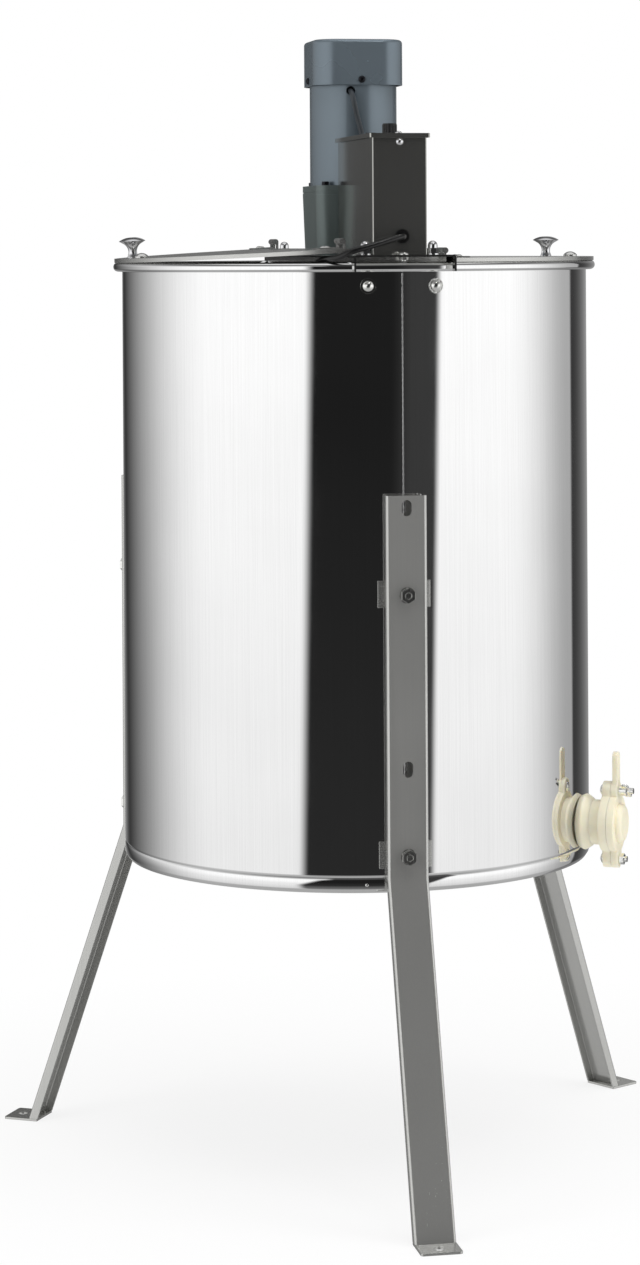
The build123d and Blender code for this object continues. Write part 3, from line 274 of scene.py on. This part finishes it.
def make_materials():
    """Every finish on the machine, by name. The three scales are how a grain is stretched along an axis."""
    along_z = (1100, 1100, 9)
    along_x = (9, 1100, 1100)
    along_y = (1100, 9, 1100)
    even = (500, 500, 500)
    return {
        "mirror_steel": metal(
            "mirror_steel", linear(248, 248, 248), 0.05, (900, 900, 5), 0.012, 1e-7, wave=2.0e-4
        ),
        "inner_steel": metal("inner_steel", linear(205, 205, 205), 0.25, along_x, 0.05, 3e-6),
        "leg_steel": brushed_sheet("leg_steel", linear(200, 200, 197), 0.20, along_z, 0.72),
        "lid_steel": brushed_sheet("lid_steel", linear(205, 205, 202), 0.24, along_y, 0.92),
        "plate_steel": brushed_sheet("plate_steel", linear(205, 205, 202), 0.24, along_x, 0.85),
        "polished_box": metal(
            "polished_box", linear(190, 190, 186), 0.13, (6, 900, 900), 0.02, 3e-7, metallic=0.95
        ),
        "bar_steel": metal("bar_steel", linear(205, 205, 202), 0.14, along_y, 0.05, 2e-6),
        "bolt_steel": metal(
            "bolt_steel", linear(228, 228, 226), 0.16, even, 0.04, 4e-6, spots=0.1, metallic=0.9
        ),
        "forged_steel": metal("forged_steel", linear(250, 250, 247), 0.09, (300, 300, 300), 0.03, 2.2e-4),
        "chrome": metal("chrome", linear(238, 238, 240), 0.045, even, 0.01, 5e-7),
        "black_oxide": metal("black_oxide", linear(52, 52, 56), 0.36, even, 0.08, 1e-5, spots=0.15),
        "gear_steel": metal("gear_steel", linear(150, 150, 152), 0.28, even, 0.08, 6e-6, spots=0.1),
        "bearing_bronze": metal("bearing_bronze", linear(190, 150, 100), 0.30, even, 0.08, 6e-6, spots=0.1),
        "laminations": laminated("laminations"),
        "motor_paint": paint("motor_paint", linear(108, 119, 127), 0.24, 0.5),
        "gearbox_paint": paint("gearbox_paint", linear(98, 108, 107), 0.36, 0.35, 1.2e-5, 360.0),
        "gate_nylon": nylon("gate_nylon", linear(252, 243, 218)),
        "black_plastic": moulded("black_plastic", linear(20, 20, 21), 0.22, 6e-6),
        "black_rubber": moulded("black_rubber", linear(16, 16, 16), 0.22, 4e-6),
        "grey_cable": moulded("grey_cable", linear(46, 50, 54), 0.38, 1.5e-5),
        "circuit_board": circuit_board("circuit_board"),
    }


MATERIALS = make_materials()


# ---------------------------------------------------------------- mesh helpers


def finish_mesh(piece, sharp_degrees=32):
    """Smooth shading with sharp edges kept sharp."""
    for polygon in piece.data.polygons:
        polygon.use_smooth = True
    piece.data.set_sharp_from_angle(angle=math.radians(sharp_degrees))


def flatten_shading(piece):
    """Lets large faces set the shading normals, so that sheet looks flat up to its rounded edges."""
    modifier = piece.modifiers.new("weighted", "WEIGHTED_NORMAL")
    modifier.weight = 100
    modifier.keep_sharp = True
    bpy.context.view_layer.objects.active = piece
    bpy.ops.object.modifier_apply(modifier=modifier.name)


def new_piece(name, mesh_data, body, material, replaces=()):
    """Puts a mesh in the scene as a piece that rides on a body."""
    piece = bpy.data.objects.new(name, mesh_data)
    bpy.context.scene.collection.objects.link(piece)
    piece.data.materials.clear()
    piece.data.materials.append(MATERIALS[material])
    finish_mesh(piece)
    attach(piece, body)
    if replaces:
        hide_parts(*replaces)
    return piece


def from_bmesh(bm, name):
    """A mesh from a bmesh, which is freed."""
    made = bpy.data.meshes.new(name)
    bm.normal_update()
    bm.to_mesh(made)
    bm.free()
    return made


def soften(bm, radius, segments=2, sharp_degrees=30):
    """Merges coplanar facets and rounds every real edge of a solid."""
    bmesh.ops.remove_doubles(bm, verts=bm.verts, dist=1e-6)
    bmesh.ops.dissolve_limit(
        bm, angle_limit=math.radians(0.4), verts=bm.verts, edges=bm.edges, delimit={"NORMAL"}
    )
    if radius:
        limit = math.radians(sharp_degrees)
        edges = [e for e in bm.edges if len(e.link_faces) == 2 and e.calc_face_angle(0) > limit]
        bmesh.ops.bevel(
            bm, geom=edges, offset=radius, offset_type="OFFSET", segments=segments,
            profile=0.6, affect="EDGES", clamp_overlap=True,
        )


def refined(node, material, radius=0.25 * MM, segments=2):
    """A finished copy of a CAD node, with welded facets and rounded edges, shown in its place."""
    source = frame["nodes"][node]
    bm = bmesh.new()
    bm.from_mesh(source.data)
    soften(bm, radius, segments)
    made = from_bmesh(bm, node)
    piece = new_piece(node + "_finished", made, BODY_OF[node], material, (node,))
    flatten_shading(piece)


def lathe(name, profile, segments):
    """Closed ring turned from a closed profile of (radius, height) points."""
    bm = bmesh.new()
    rings = []
    for index in range(segments):
        angle = 2 * math.pi * index / segments
        spin = (math.cos(angle), math.sin(angle))
        rings.append([bm.verts.new((r * spin[0], r * spin[1], z)) for r, z in profile])
    count = len(profile)
    for index in range(segments):
        here, there = rings[index], rings[(index + 1) % segments]
        for step in range(count):
            after = (step + 1) % count
            bm.faces.new((here[step], there[step], there[after], here[after]))
    bmesh.ops.recalc_face_normals(bm, faces=bm.faces)
    return from_bmesh(bm, name)


def arc(centre_r, centre_z, radius, start, end, steps):
    """Points of a circular arc in a turned profile, angles in degrees."""
    points = []
    for step in range(steps + 1):
        angle = math.radians(start + (end - start) * step / steps)
        points.append((centre_r + radius * math.cos(angle), centre_z + radius * math.sin(angle)))
    return points


def tube(bm, points, radius, sides=8):
    """Adds a closed round bar along a line of points."""
    loops = []
    for index, point in enumerate(points):
        before = points[max(0, index - 1)]
        after = points[min(len(points) - 1, index + 1)]
        direction = (Vector(after) - Vector(before)).normalized()
        side = direction.orthogonal().normalized()
        if loops:
            side = (last_side - direction * last_side.dot(direction)).normalized()
        other = direction.cross(side)
        last_side = side
        loop = []
        for step in range(sides):
            angle = 2 * math.pi * step / sides
            spoke = side * math.cos(angle) + other * math.sin(angle)
            loop.append(bm.verts.new(Vector(point) + spoke * radius))
        loops.append(loop)
    for here, there in zip(loops, loops[1:]):
        for step in range(sides):
            after = (step + 1) % sides
            bm.faces.new((here[step], here[after], there[after], there[step]))
    bm.faces.new(list(reversed(loops[0])))
    bm.faces.new(loops[-1])


BODY_OF = {
    node: body for body, nodes in frame["record"]["behaviour"]["bodies"].items() for node in nodes
}


# ---------------------------------------------------------------- drum


def drum_profile():
    """Section of the drum wall: rolled bead, plain wall, grooved band and hem, in metres."""
    low = DRUM_LOW.z
    bead_z = DRUM_HIGH.z - BEAD_R
    bead_r = BEAD_OUT - BEAD_R
    outer = [(DRUM_R - 2.4 * MM - WALL, low + 0.5 * MM), (DRUM_R - 3.2 * MM, low), (DRUM_R - 2.6 * MM, low)]
    outer += [(DRUM_R - 0.3 * MM, low + 3.4 * MM), (DRUM_R, low + 4.4 * MM), (DRUM_R, low + 12.6 * MM)]
    outer += [(DRUM_R - 0.35 * MM, low + 13.8 * MM), (DRUM_R - 0.9 * MM, low + 15 * MM)]
    outer += [(DRUM_R - 0.35 * MM, low + 16.2 * MM), (DRUM_R, low + 17.4 * MM), (DRUM_R, low + 19 * MM)]
    outer += [(DRUM_R, bead_z - 9 * MM), (DRUM_R, bead_z - 4.6 * MM)]
    outer += arc(bead_r, bead_z, BEAD_R, -158, 180, 26)
    inner_r = DRUM_R - WALL
    inner = [(inner_r, bead_z - 1 * MM), (inner_r, bead_z - 12 * MM), (inner_r, low + 19 * MM)]
    inner += [(DRUM_R - 0.9 * MM - WALL, low + 15 * MM), (inner_r, low + 11 * MM), (inner_r, low + 4.4 * MM)]
    return outer + inner


def cut_round_hole(piece, angle, height, radius, reach):
    """Cuts a radial hole through a piece at a direction and height."""
    bpy.ops.mesh.primitive_cylinder_add(vertices=64, radius=radius, depth=reach)
    cutter = bpy.context.object
    out = Vector((math.cos(angle), math.sin(angle), 0))
    cutter.rotation_euler = out.to_track_quat("Z", "Y").to_euler()
    cutter.location = out * DRUM_R + Vector((0, 0, height))
    modifier = piece.modifiers.new("hole", "BOOLEAN")
    modifier.object = cutter
    modifier.solver = "EXACT"
    bpy.context.view_layer.objects.active = piece
    bpy.ops.object.modifier_apply(modifier=modifier.name)
    bpy.data.objects.remove(cutter)


def true_wall_normals(piece):
    """Sets the wall's shading normals from the cylinder itself, so that reflections stay clean."""
    data = piece.data
    low, high = DRUM_LOW.z + 19 * MM, DRUM_HIGH.z - 2 * BEAD_R - 4 * MM
    normals = [corner.vector.copy() for corner in data.corner_normals]
    for polygon in data.polygons:
        middle = polygon.center
        out = Vector((middle.x, middle.y, 0)).normalized()
        facing = polygon.normal.dot(out)
        if low - MM < middle.z < high + 10 * MM and abs(facing) > 0.9:
            for loop in polygon.loop_indices:
                point = data.vertices[data.loops[loop].vertex_index].co
                normals[loop] = Vector((point.x, point.y, 0)).normalized() * (1 if facing > 0 else -1)
    data.normals_split_custom_set(normals)


def build_drum():
    """Rolled drum wall with its gate hole, the floor inside it, the weld seam and the band's rivet."""
    gate_low, gate_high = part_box("gate_ring_nuts")
    gate_z = (gate_low.z + gate_high.z) / 2
    turned = lathe("drum_wall", drum_profile(), 256)
    shell = new_piece("drum_wall", turned, "stand", "mirror_steel", ("drum_shell",))
    cut_round_hole(shell, GATE_ANGLE, gate_z, GATE_HOLE_R, 30 * MM)
    finish_mesh(shell)
    true_wall_normals(shell)
    refined("drum_floor", "inner_steel", 0.2 * MM)
    weld_seam()
    rim_rivet()


def weld_seam():
    """Thin rippled weld line down the front of the wall."""
    low, high = DRUM_LOW.z + 18 * MM, DRUM_HIGH.z - 2 * BEAD_R - 1 * MM
    ripples = random.Random(4)
    steps = 300
    bm = bmesh.new()
    rows = []
    for index in range(steps + 1):
        z = low + (high - low) * index / steps
        half = 0.7 * MM * (1 + 0.18 * math.sin(index * 1.9) + 0.1 * ripples.uniform(-1, 1))
        rise = 0.24 * MM * (1 + 0.3 * math.sin(index * 2.4))
        heights = (-0.2 * MM, rise * 0.8, rise, rise * 0.8, -0.2 * MM)
        row = []
        for across, height in zip((-1, -0.5, 0, 0.5, 1), heights):
            row.append(bm.verts.new((across * half, -DRUM_R - height, z)))
        row.append(bm.verts.new((0, -DRUM_R + 0.5 * MM, z)))
        rows.append(row)
    for here, there in zip(rows, rows[1:]):
        for step in range(6):
            after = (step + 1) % 6
            bm.faces.new((here[step], here[after], there[after], there[step]))
    bm.faces.new(rows[0])
    bm.faces.new(list(reversed(rows[-1])))
    bmesh.ops.recalc_face_normals(bm, faces=bm.faces)
    new_piece("weld_seam", from_bmesh(bm, "weld_seam"), "stand", "mirror_steel")


def rim_rivet():
    """Small domed rivet in the drum's bottom band, left of the front leg."""
    profile = [(0.0001 * MM, -1 * MM), (1.7 * MM, -1 * MM), (1.7 * MM, 0.3 * MM)]
    profile += [(1.5 * MM, 0.75 * MM), (0.9 * MM, 1.05 * MM), (0.0001 * MM, 1.15 * MM)]
    rivet = lathe("rim_rivet", profile, 24)
    out = Vector((math.cos(FRONT - math.radians(9)), math.sin(FRONT - math.radians(9)), 0))
    turn = out.to_track_quat("Z", "Y").to_matrix().to_4x4()
    rivet.transform(Matrix.Translation(out * DRUM_R + Vector((0, 0, DRUM_LOW.z + 8 * MM))) @ turn)
    new_piece("rim_rivet", rivet, "stand", "bolt_steel")


# ---------------------------------------------------------------- basket


def build_basket():
    """Rod frame, and finer woven screens in place of the plain perforated sheets."""
    refined("basket_frame", "inner_steel", 0.4 * MM)
    refined("basket_shaft", "gear_steel", 0.6 * MM)
    refined("shaft_coupling", "bolt_steel", 0.5 * MM)
    low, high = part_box("basket_screens")
    wire = 0.7 * MM
    pitch = 9.0 * MM
    reach = high.x - wire
    half = 113.0 * MM
    for turn, side in enumerate(("front", "right", "rear", "left")):
        bm = bmesh.new()
        columns = int(2 * half / pitch)
        rows = int((high.z - low.z) / pitch)
        for column in range(columns + 1):
            x = -half + 2 * half * column / columns
            tube(bm, [(x, -reach + wire * 0.5, low.z), (x, -reach + wire * 0.5, high.z)], wire, 6)
        for row in range(rows + 1):
            z = low.z + wire + (high.z - low.z - 2 * wire) * row / rows
            tube(bm, [(-half, -reach - wire * 0.5, z), (half, -reach - wire * 0.5, z)], wire, 6)
        bm.transform(Matrix.Rotation(turn * math.pi / 2, 4, "Z"))
        woven = from_bmesh(bm, "screen")
        replaced = ("basket_screens",) if turn == 0 else ()
        new_piece("wire_screen_" + side, woven, "basket", "inner_steel", replaced)


# ---------------------------------------------------------------- honey gate


def build_gate_nuts():
    """Tapered ring nut outside the drum wall, and the plain one inside it."""
    low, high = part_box("gate_ring_nuts")
    radius = (high.z - low.z) / 2
    bore = radius - 5.4 * MM
    outside = [(bore, 0.3 * MM), (radius - 2.6 * MM, 0.3 * MM), (radius - 1.6 * MM, 1.2 * MM)]
    outside += [(radius - 0.5 * MM, 4.0 * MM), (radius, 5.4 * MM), (radius - 0.2 * MM, 6.6 * MM)]
    outside += [(radius - 1.4 * MM, 8.4 * MM), (radius - 3.2 * MM, 11.2 * MM)]
    outside += [(radius - 4.6 * MM, 12.8 * MM), (bore, 13.4 * MM)]
    inside = [(bore, -1.6 * MM), (bore, -9.0 * MM), (radius - 2.0 * MM, -9.0 * MM)]
    inside += [(radius - 1.0 * MM, -8.0 * MM), (radius - 1.0 * MM, -2.6 * MM)]
    inside += [(radius - 2.0 * MM, -1.6 * MM)]
    out = Vector((math.cos(GATE_ANGLE), math.sin(GATE_ANGLE), 0))
    turn = out.to_track_quat("Z", "Y").to_matrix().to_4x4()
    place = Matrix.Translation(out * DRUM_R + Vector((0, 0, (low.z + high.z) / 2))) @ turn
    nuts = (("gate_nut", outside, ("gate_ring_nuts",)), ("gate_inner_nut", inside, ()))
    for name, profile, replaced in nuts:
        nut = lathe(name, profile, 96)
        nut.transform(place)
        new_piece(name, nut, "stand", "gate_nylon", replaced)


# ---------------------------------------------------------------- the other CAD nodes

EDGE_FINISH = {
    "bottom_bearing": ("bearing_bronze", 0.4),
    "leg_front": ("leg_steel", 0.9),
    "leg_left": ("leg_steel", 0.9),
    "leg_right": ("leg_steel", 0.9),
    "foot_plates": ("leg_steel", 0.4),
    "leg_brackets": ("plate_steel", 0.3),
    "leg_bolts": ("forged_steel", 0.35),
    "leg_nuts": ("bolt_steel", 0.3),
    "crossbar": ("bar_steel", 0.3),
    "crossbar_brackets": ("plate_steel", 0.3),
    "wall_bolts": ("forged_steel", 0.25),
    "crossbar_bolts": ("bolt_steel", 0.25),
    "acorn_nuts": ("chrome", 0.3),
    "gearbox_housing": ("gearbox_paint", 0.8),
    "gearbox_cover": ("gearbox_paint", 0.35),
    "gearbox_screws": ("black_oxide", 0.3),
    "drive_bearings": ("bearing_bronze", 0.3),
    "output_shaft": ("gear_steel", 0.5),
    "output_gear": ("gear_steel", 0.1),
    "countershaft": ("gear_steel", 0.1),
    "countershaft_gear": ("gear_steel", 0.1),
    "motor_shaft": ("gear_steel", 0.1),
    "motor_housing": ("motor_paint", 0.5),
    "motor_end_shield": ("motor_paint", 0.4),
    "stator": ("laminations", 0.2),
    "rotor_core": ("laminations", 0.3),
    "cooling_fan": ("black_plastic", 0.3),
    "fan_cover": ("motor_paint", 0.5),
    "fan_cover_screws": ("black_oxide", 0.25),
    "motor_cable": ("grey_cable", 0.0),
    "control_box": ("polished_box", 0.2),
    "box_cover": ("polished_box", 0.3),
    "box_screws": ("chrome", 0.25),
    "speed_control": ("circuit_board", 0.2),
    "speed_knob": ("black_plastic", 0.25),
    "switch_body": ("black_plastic", 0.4),
    "rocker": ("black_plastic", 0.4),
    "cable_grommet": ("black_rubber", 0.5),
    "mains_lead": ("black_rubber", 0.0),
    "lid_right": ("lid_steel", 0.35),
    "lid_left": ("lid_steel", 0.35),
    "lid_right_knob": ("chrome", 0.3),
    "lid_left_knob": ("chrome", 0.3),
    "lid_right_leaves": ("bolt_steel", 0.25),
    "lid_left_leaves": ("bolt_steel", 0.25),
    "lid_right_screws": ("bolt_steel", 0.25),
    "lid_left_screws": ("bolt_steel", 0.25),
    "hinge_leaves": ("bolt_steel", 0.25),
    "hinge_pins": ("bolt_steel", 0.2),
    "gate_body": ("gate_nylon", 1.2),
    "gate_blade": ("gate_nylon", 0.9),
    "gate_bolts": ("forged_steel", 0.3),
    "wing_nut": ("forged_steel", 0.35),
}


def finish_cad_nodes():
    """Shows every node of EDGE_FINISH with its material and its edge radius in millimetres."""
    for node, (material, radius) in EDGE_FINISH.items():
        refined(node, material, radius * MM)


# ---------------------------------------------------------------- studio


def build_floor():
    """Pale floor that melts into the white backdrop away from the machine."""
    bpy.ops.mesh.primitive_plane_add(size=30)
    floor = bpy.context.object
    floor.name = "studio_floor"
    made, n, shader = new_material("studio_floor")
    shader.inputs["Base Color"].default_value = linear(250, 250, 250)
    shader.inputs["Roughness"].default_value = 0.9
    shader.inputs["Specular IOR Level"].default_value = 0.1
    length = n.add("VectorMath", operation="LENGTH")
    n.link(n.place(), length.inputs[0])
    fade = n.remap(length.outputs["Value"], 0.25, 0.85, 0.80, 1.0)
    white = n.add("Emission")
    white.inputs["Color"].default_value = (1, 1, 1, 1)
    mixed = n.add("MixShader")
    n.feed(mixed.inputs[0], fade)
    n.link(shader.outputs[0], mixed.inputs[1])
    n.link(white.outputs[0], mixed.inputs[2])
    output = made.node_tree.nodes["Material Output"]
    n.link(mixed.outputs[0], output.inputs["Surface"])
    floor.data.materials.append(made)
    floor.visible_glossy = False


# The studio round the machine. Angles are degrees round from the camera, levels are linear brightness.
LEFT_BOX_RISE, LEFT_BOX_FALL, LEFT_BOX_LEVEL = (-170, -70), (-24, -18), 1.07
RIGHT_BOX_RISE, RIGHT_BOX_FALL = (40, 44), (132, 135)
RIGHT_BOX_FADE, RIGHT_BOX_LEVELS = (80, 130), (1.05, 0.4)
REAR_LEFT, REAR_LEFT_LEVELS = (-180, -160), (0.3, 0.0)
REAR_RIGHT, REAR_RIGHT_LEVELS = (135, 180), (0.0, 0.33)
SPILL, SPILL_LEVELS = (18, 30), (0.0, 0.03)
GAP_LEVEL = 0.013


def studio_turn(n, turn, rise):
    """Angle round the studio, bent a little with height as its softboxes lean."""
    left = n.remap(turn, -2.1, -1.2, 0.9, -0.5)
    right = n.remap(turn, 1.0, 1.8, 0.0, 0.5)
    near_level = n.remap(rise, -0.25, 0.25, -0.25, 0.25)
    return n.math("ADD", turn, n.math("MULTIPLY", n.math("ADD", left, right), near_level))


def studio_level(n, turn):
    """Two tall softboxes with a dark gap for the camera between them, and a dim wall behind."""
    left = n.fade(turn, LEFT_BOX_RISE, (0, LEFT_BOX_LEVEL))
    left = n.math("MULTIPLY", left, n.fade(turn, LEFT_BOX_FALL, (1, 0)))
    right = n.fade(turn, RIGHT_BOX_FADE, RIGHT_BOX_LEVELS)
    right = n.math("MULTIPLY", right, n.fade(turn, RIGHT_BOX_RISE, (0, 1)))
    right = n.math("MULTIPLY", right, n.fade(turn, RIGHT_BOX_FALL, (1, 0)))
    rear_left = n.fade(turn, REAR_LEFT, REAR_LEFT_LEVELS)
    rear_right = n.fade(turn, REAR_RIGHT, REAR_RIGHT_LEVELS)
    level = GAP_LEVEL
    for part in (left, right, rear_left, rear_right, n.fade(turn, SPILL, SPILL_LEVELS)):
        level = n.math("ADD", part, level)
    return level


def build_world():
    """Studio seen in the metal: softboxes round it, a dark ceiling with a bright middle, a grey floor."""
    world = bpy.data.worlds.new("studio")
    bpy.context.scene.world = world
    world.use_nodes = True
    n = Nodes(world.node_tree)
    direction = n.add("TexCoord").outputs["Generated"]
    towards = (-math.sin(CAMERA_TURN), -math.cos(CAMERA_TURN), 0)
    right = (math.cos(CAMERA_TURN), -math.sin(CAMERA_TURN), 0)
    parts = []
    for axis in (right, towards, (0, 0, 1)):
        dot = n.add("VectorMath", operation="DOT_PRODUCT")
        n.link(direction, dot.inputs[0])
        dot.inputs[1].default_value = axis
        parts.append(dot.outputs["Value"])
    turn = studio_turn(n, n.math("ARCTAN2", parts[0], parts[1]), parts[2])
    fall = n.remap(parts[2], -0.2, -0.02, 0.8, 1.0)
    haze = n.remap(parts[2], -0.2, -0.05, 0.014, 0.0)
    level = n.math("ADD", n.math("MULTIPLY", studio_level(n, turn), fall), haze)
    above = n.remap(parts[2], 0.20, 0.62, 0.0, 1.0)
    below = n.remap(parts[2], -0.25, -0.8, 0.0, 1.0)
    overhead = n.remap(parts[2], 0.70, 0.86, 0.10, 0.75)
    sky = n.mix(above, level, n.mix(overhead, (0, 0, 0, 1), (1, 1, 1, 1)))
    sky = n.mix(below, sky, (0.42, 0.42, 0.42, 1))
    seen = n.add("LightPath").outputs["Is Camera Ray"]
    background = world.node_tree.nodes["Background"]
    n.feed(background.inputs["Color"], n.mix(seen, sky, (1, 1, 1, 1)))
    background.inputs["Strength"].default_value = 1.0


def area_light(name, location, target, size, power):
    """A rectangular lamp aimed at a point. Size in metres and power in watts."""
    data = bpy.data.lights.new(name, "AREA")
    data.shape = "RECTANGLE"
    data.size, data.size_y = size
    data.energy = power
    light = bpy.data.objects.new(name, data)
    light.location = location
    light.rotation_euler = (Vector(target) - Vector(location)).to_track_quat("-Z", "Y").to_euler()
    bpy.context.scene.collection.objects.link(light)
    return light


def build_lights():
    """Overhead softbox and two fills that don't show in the polished metal, and a small lamp that does."""
    middle = (0, 0, 0.6)
    lights = [
        area_light("overhead", (0.3, -0.6, 2.9), middle, (2.4, 2.4), 40),
        area_light("left_fill", (-2.4, -1.2, 1.5), middle, (1.2, 2.2), 26),
        area_light("right_fill", (2.2, -1.6, 1.4), middle, (1.2, 2.2), 22),
    ]
    for light in lights:
        light.visible_glossy = False
    area_light("sparkle", (0.5, -1.5, 2.9), middle, (0.3, 0.3), 3.0)


def shift_driver(data, channel, value, camera):
    """Holds the lens shift only while the camera stands at its own place."""
    driver = data.driver_add(channel).driver
    driver.type = "SCRIPTED"
    names = {"height": "LOC_Z", "side": "LOC_X"}
    for name, source in names.items():
        variable = driver.variables.new()
        variable.name = name
        variable.type = "TRANSFORMS"
        variable.targets[0].id = camera
        variable.targets[0].transform_type = source
        variable.targets[0].transform_space = "WORLD_SPACE"
    side = camera.location.x
    test = f"abs(height - {CAMERA_HEIGHT:.4f}) < 0.001 and abs(side - {side:.4f}) < 0.001"
    driver.expression = f"{value:.5f} if {test} else 0.0"


def build_camera():
    """The one camera, with the lens shifted so that it can stand level."""
    data = bpy.data.cameras.new("camera")
    camera = bpy.data.objects.new("camera", data)
    bpy.context.scene.collection.objects.link(camera)
    data.lens = CAMERA_LENS
    data.sensor_width = 36
    look = Vector((math.sin(CAMERA_TURN), math.cos(CAMERA_TURN), 0))
    camera.location = -look * CAMERA_DISTANCE + Vector((0, 0, CAMERA_HEIGHT))
    roll = Matrix.Rotation(CAMERA_ROLL, 4, "Z")
    camera.rotation_mode = "QUATERNION"
    camera.rotation_quaternion = (look.to_track_quat("-Z", "Y").to_matrix().to_4x4() @ roll).to_quaternion()
    data.clip_start, data.clip_end = 0.05, 60
    shift_driver(data, "shift_x", CAMERA_SHIFT_X, camera)
    shift_driver(data, "shift_y", CAMERA_SHIFT_Y, camera)
    bpy.context.scene.camera = camera


build_drum()
build_basket()
build_gate_nuts()
finish_cad_nodes()
build_floor()
build_world()
build_lights()
build_camera()
bpy.context.scene.view_settings.view_transform = "Standard"
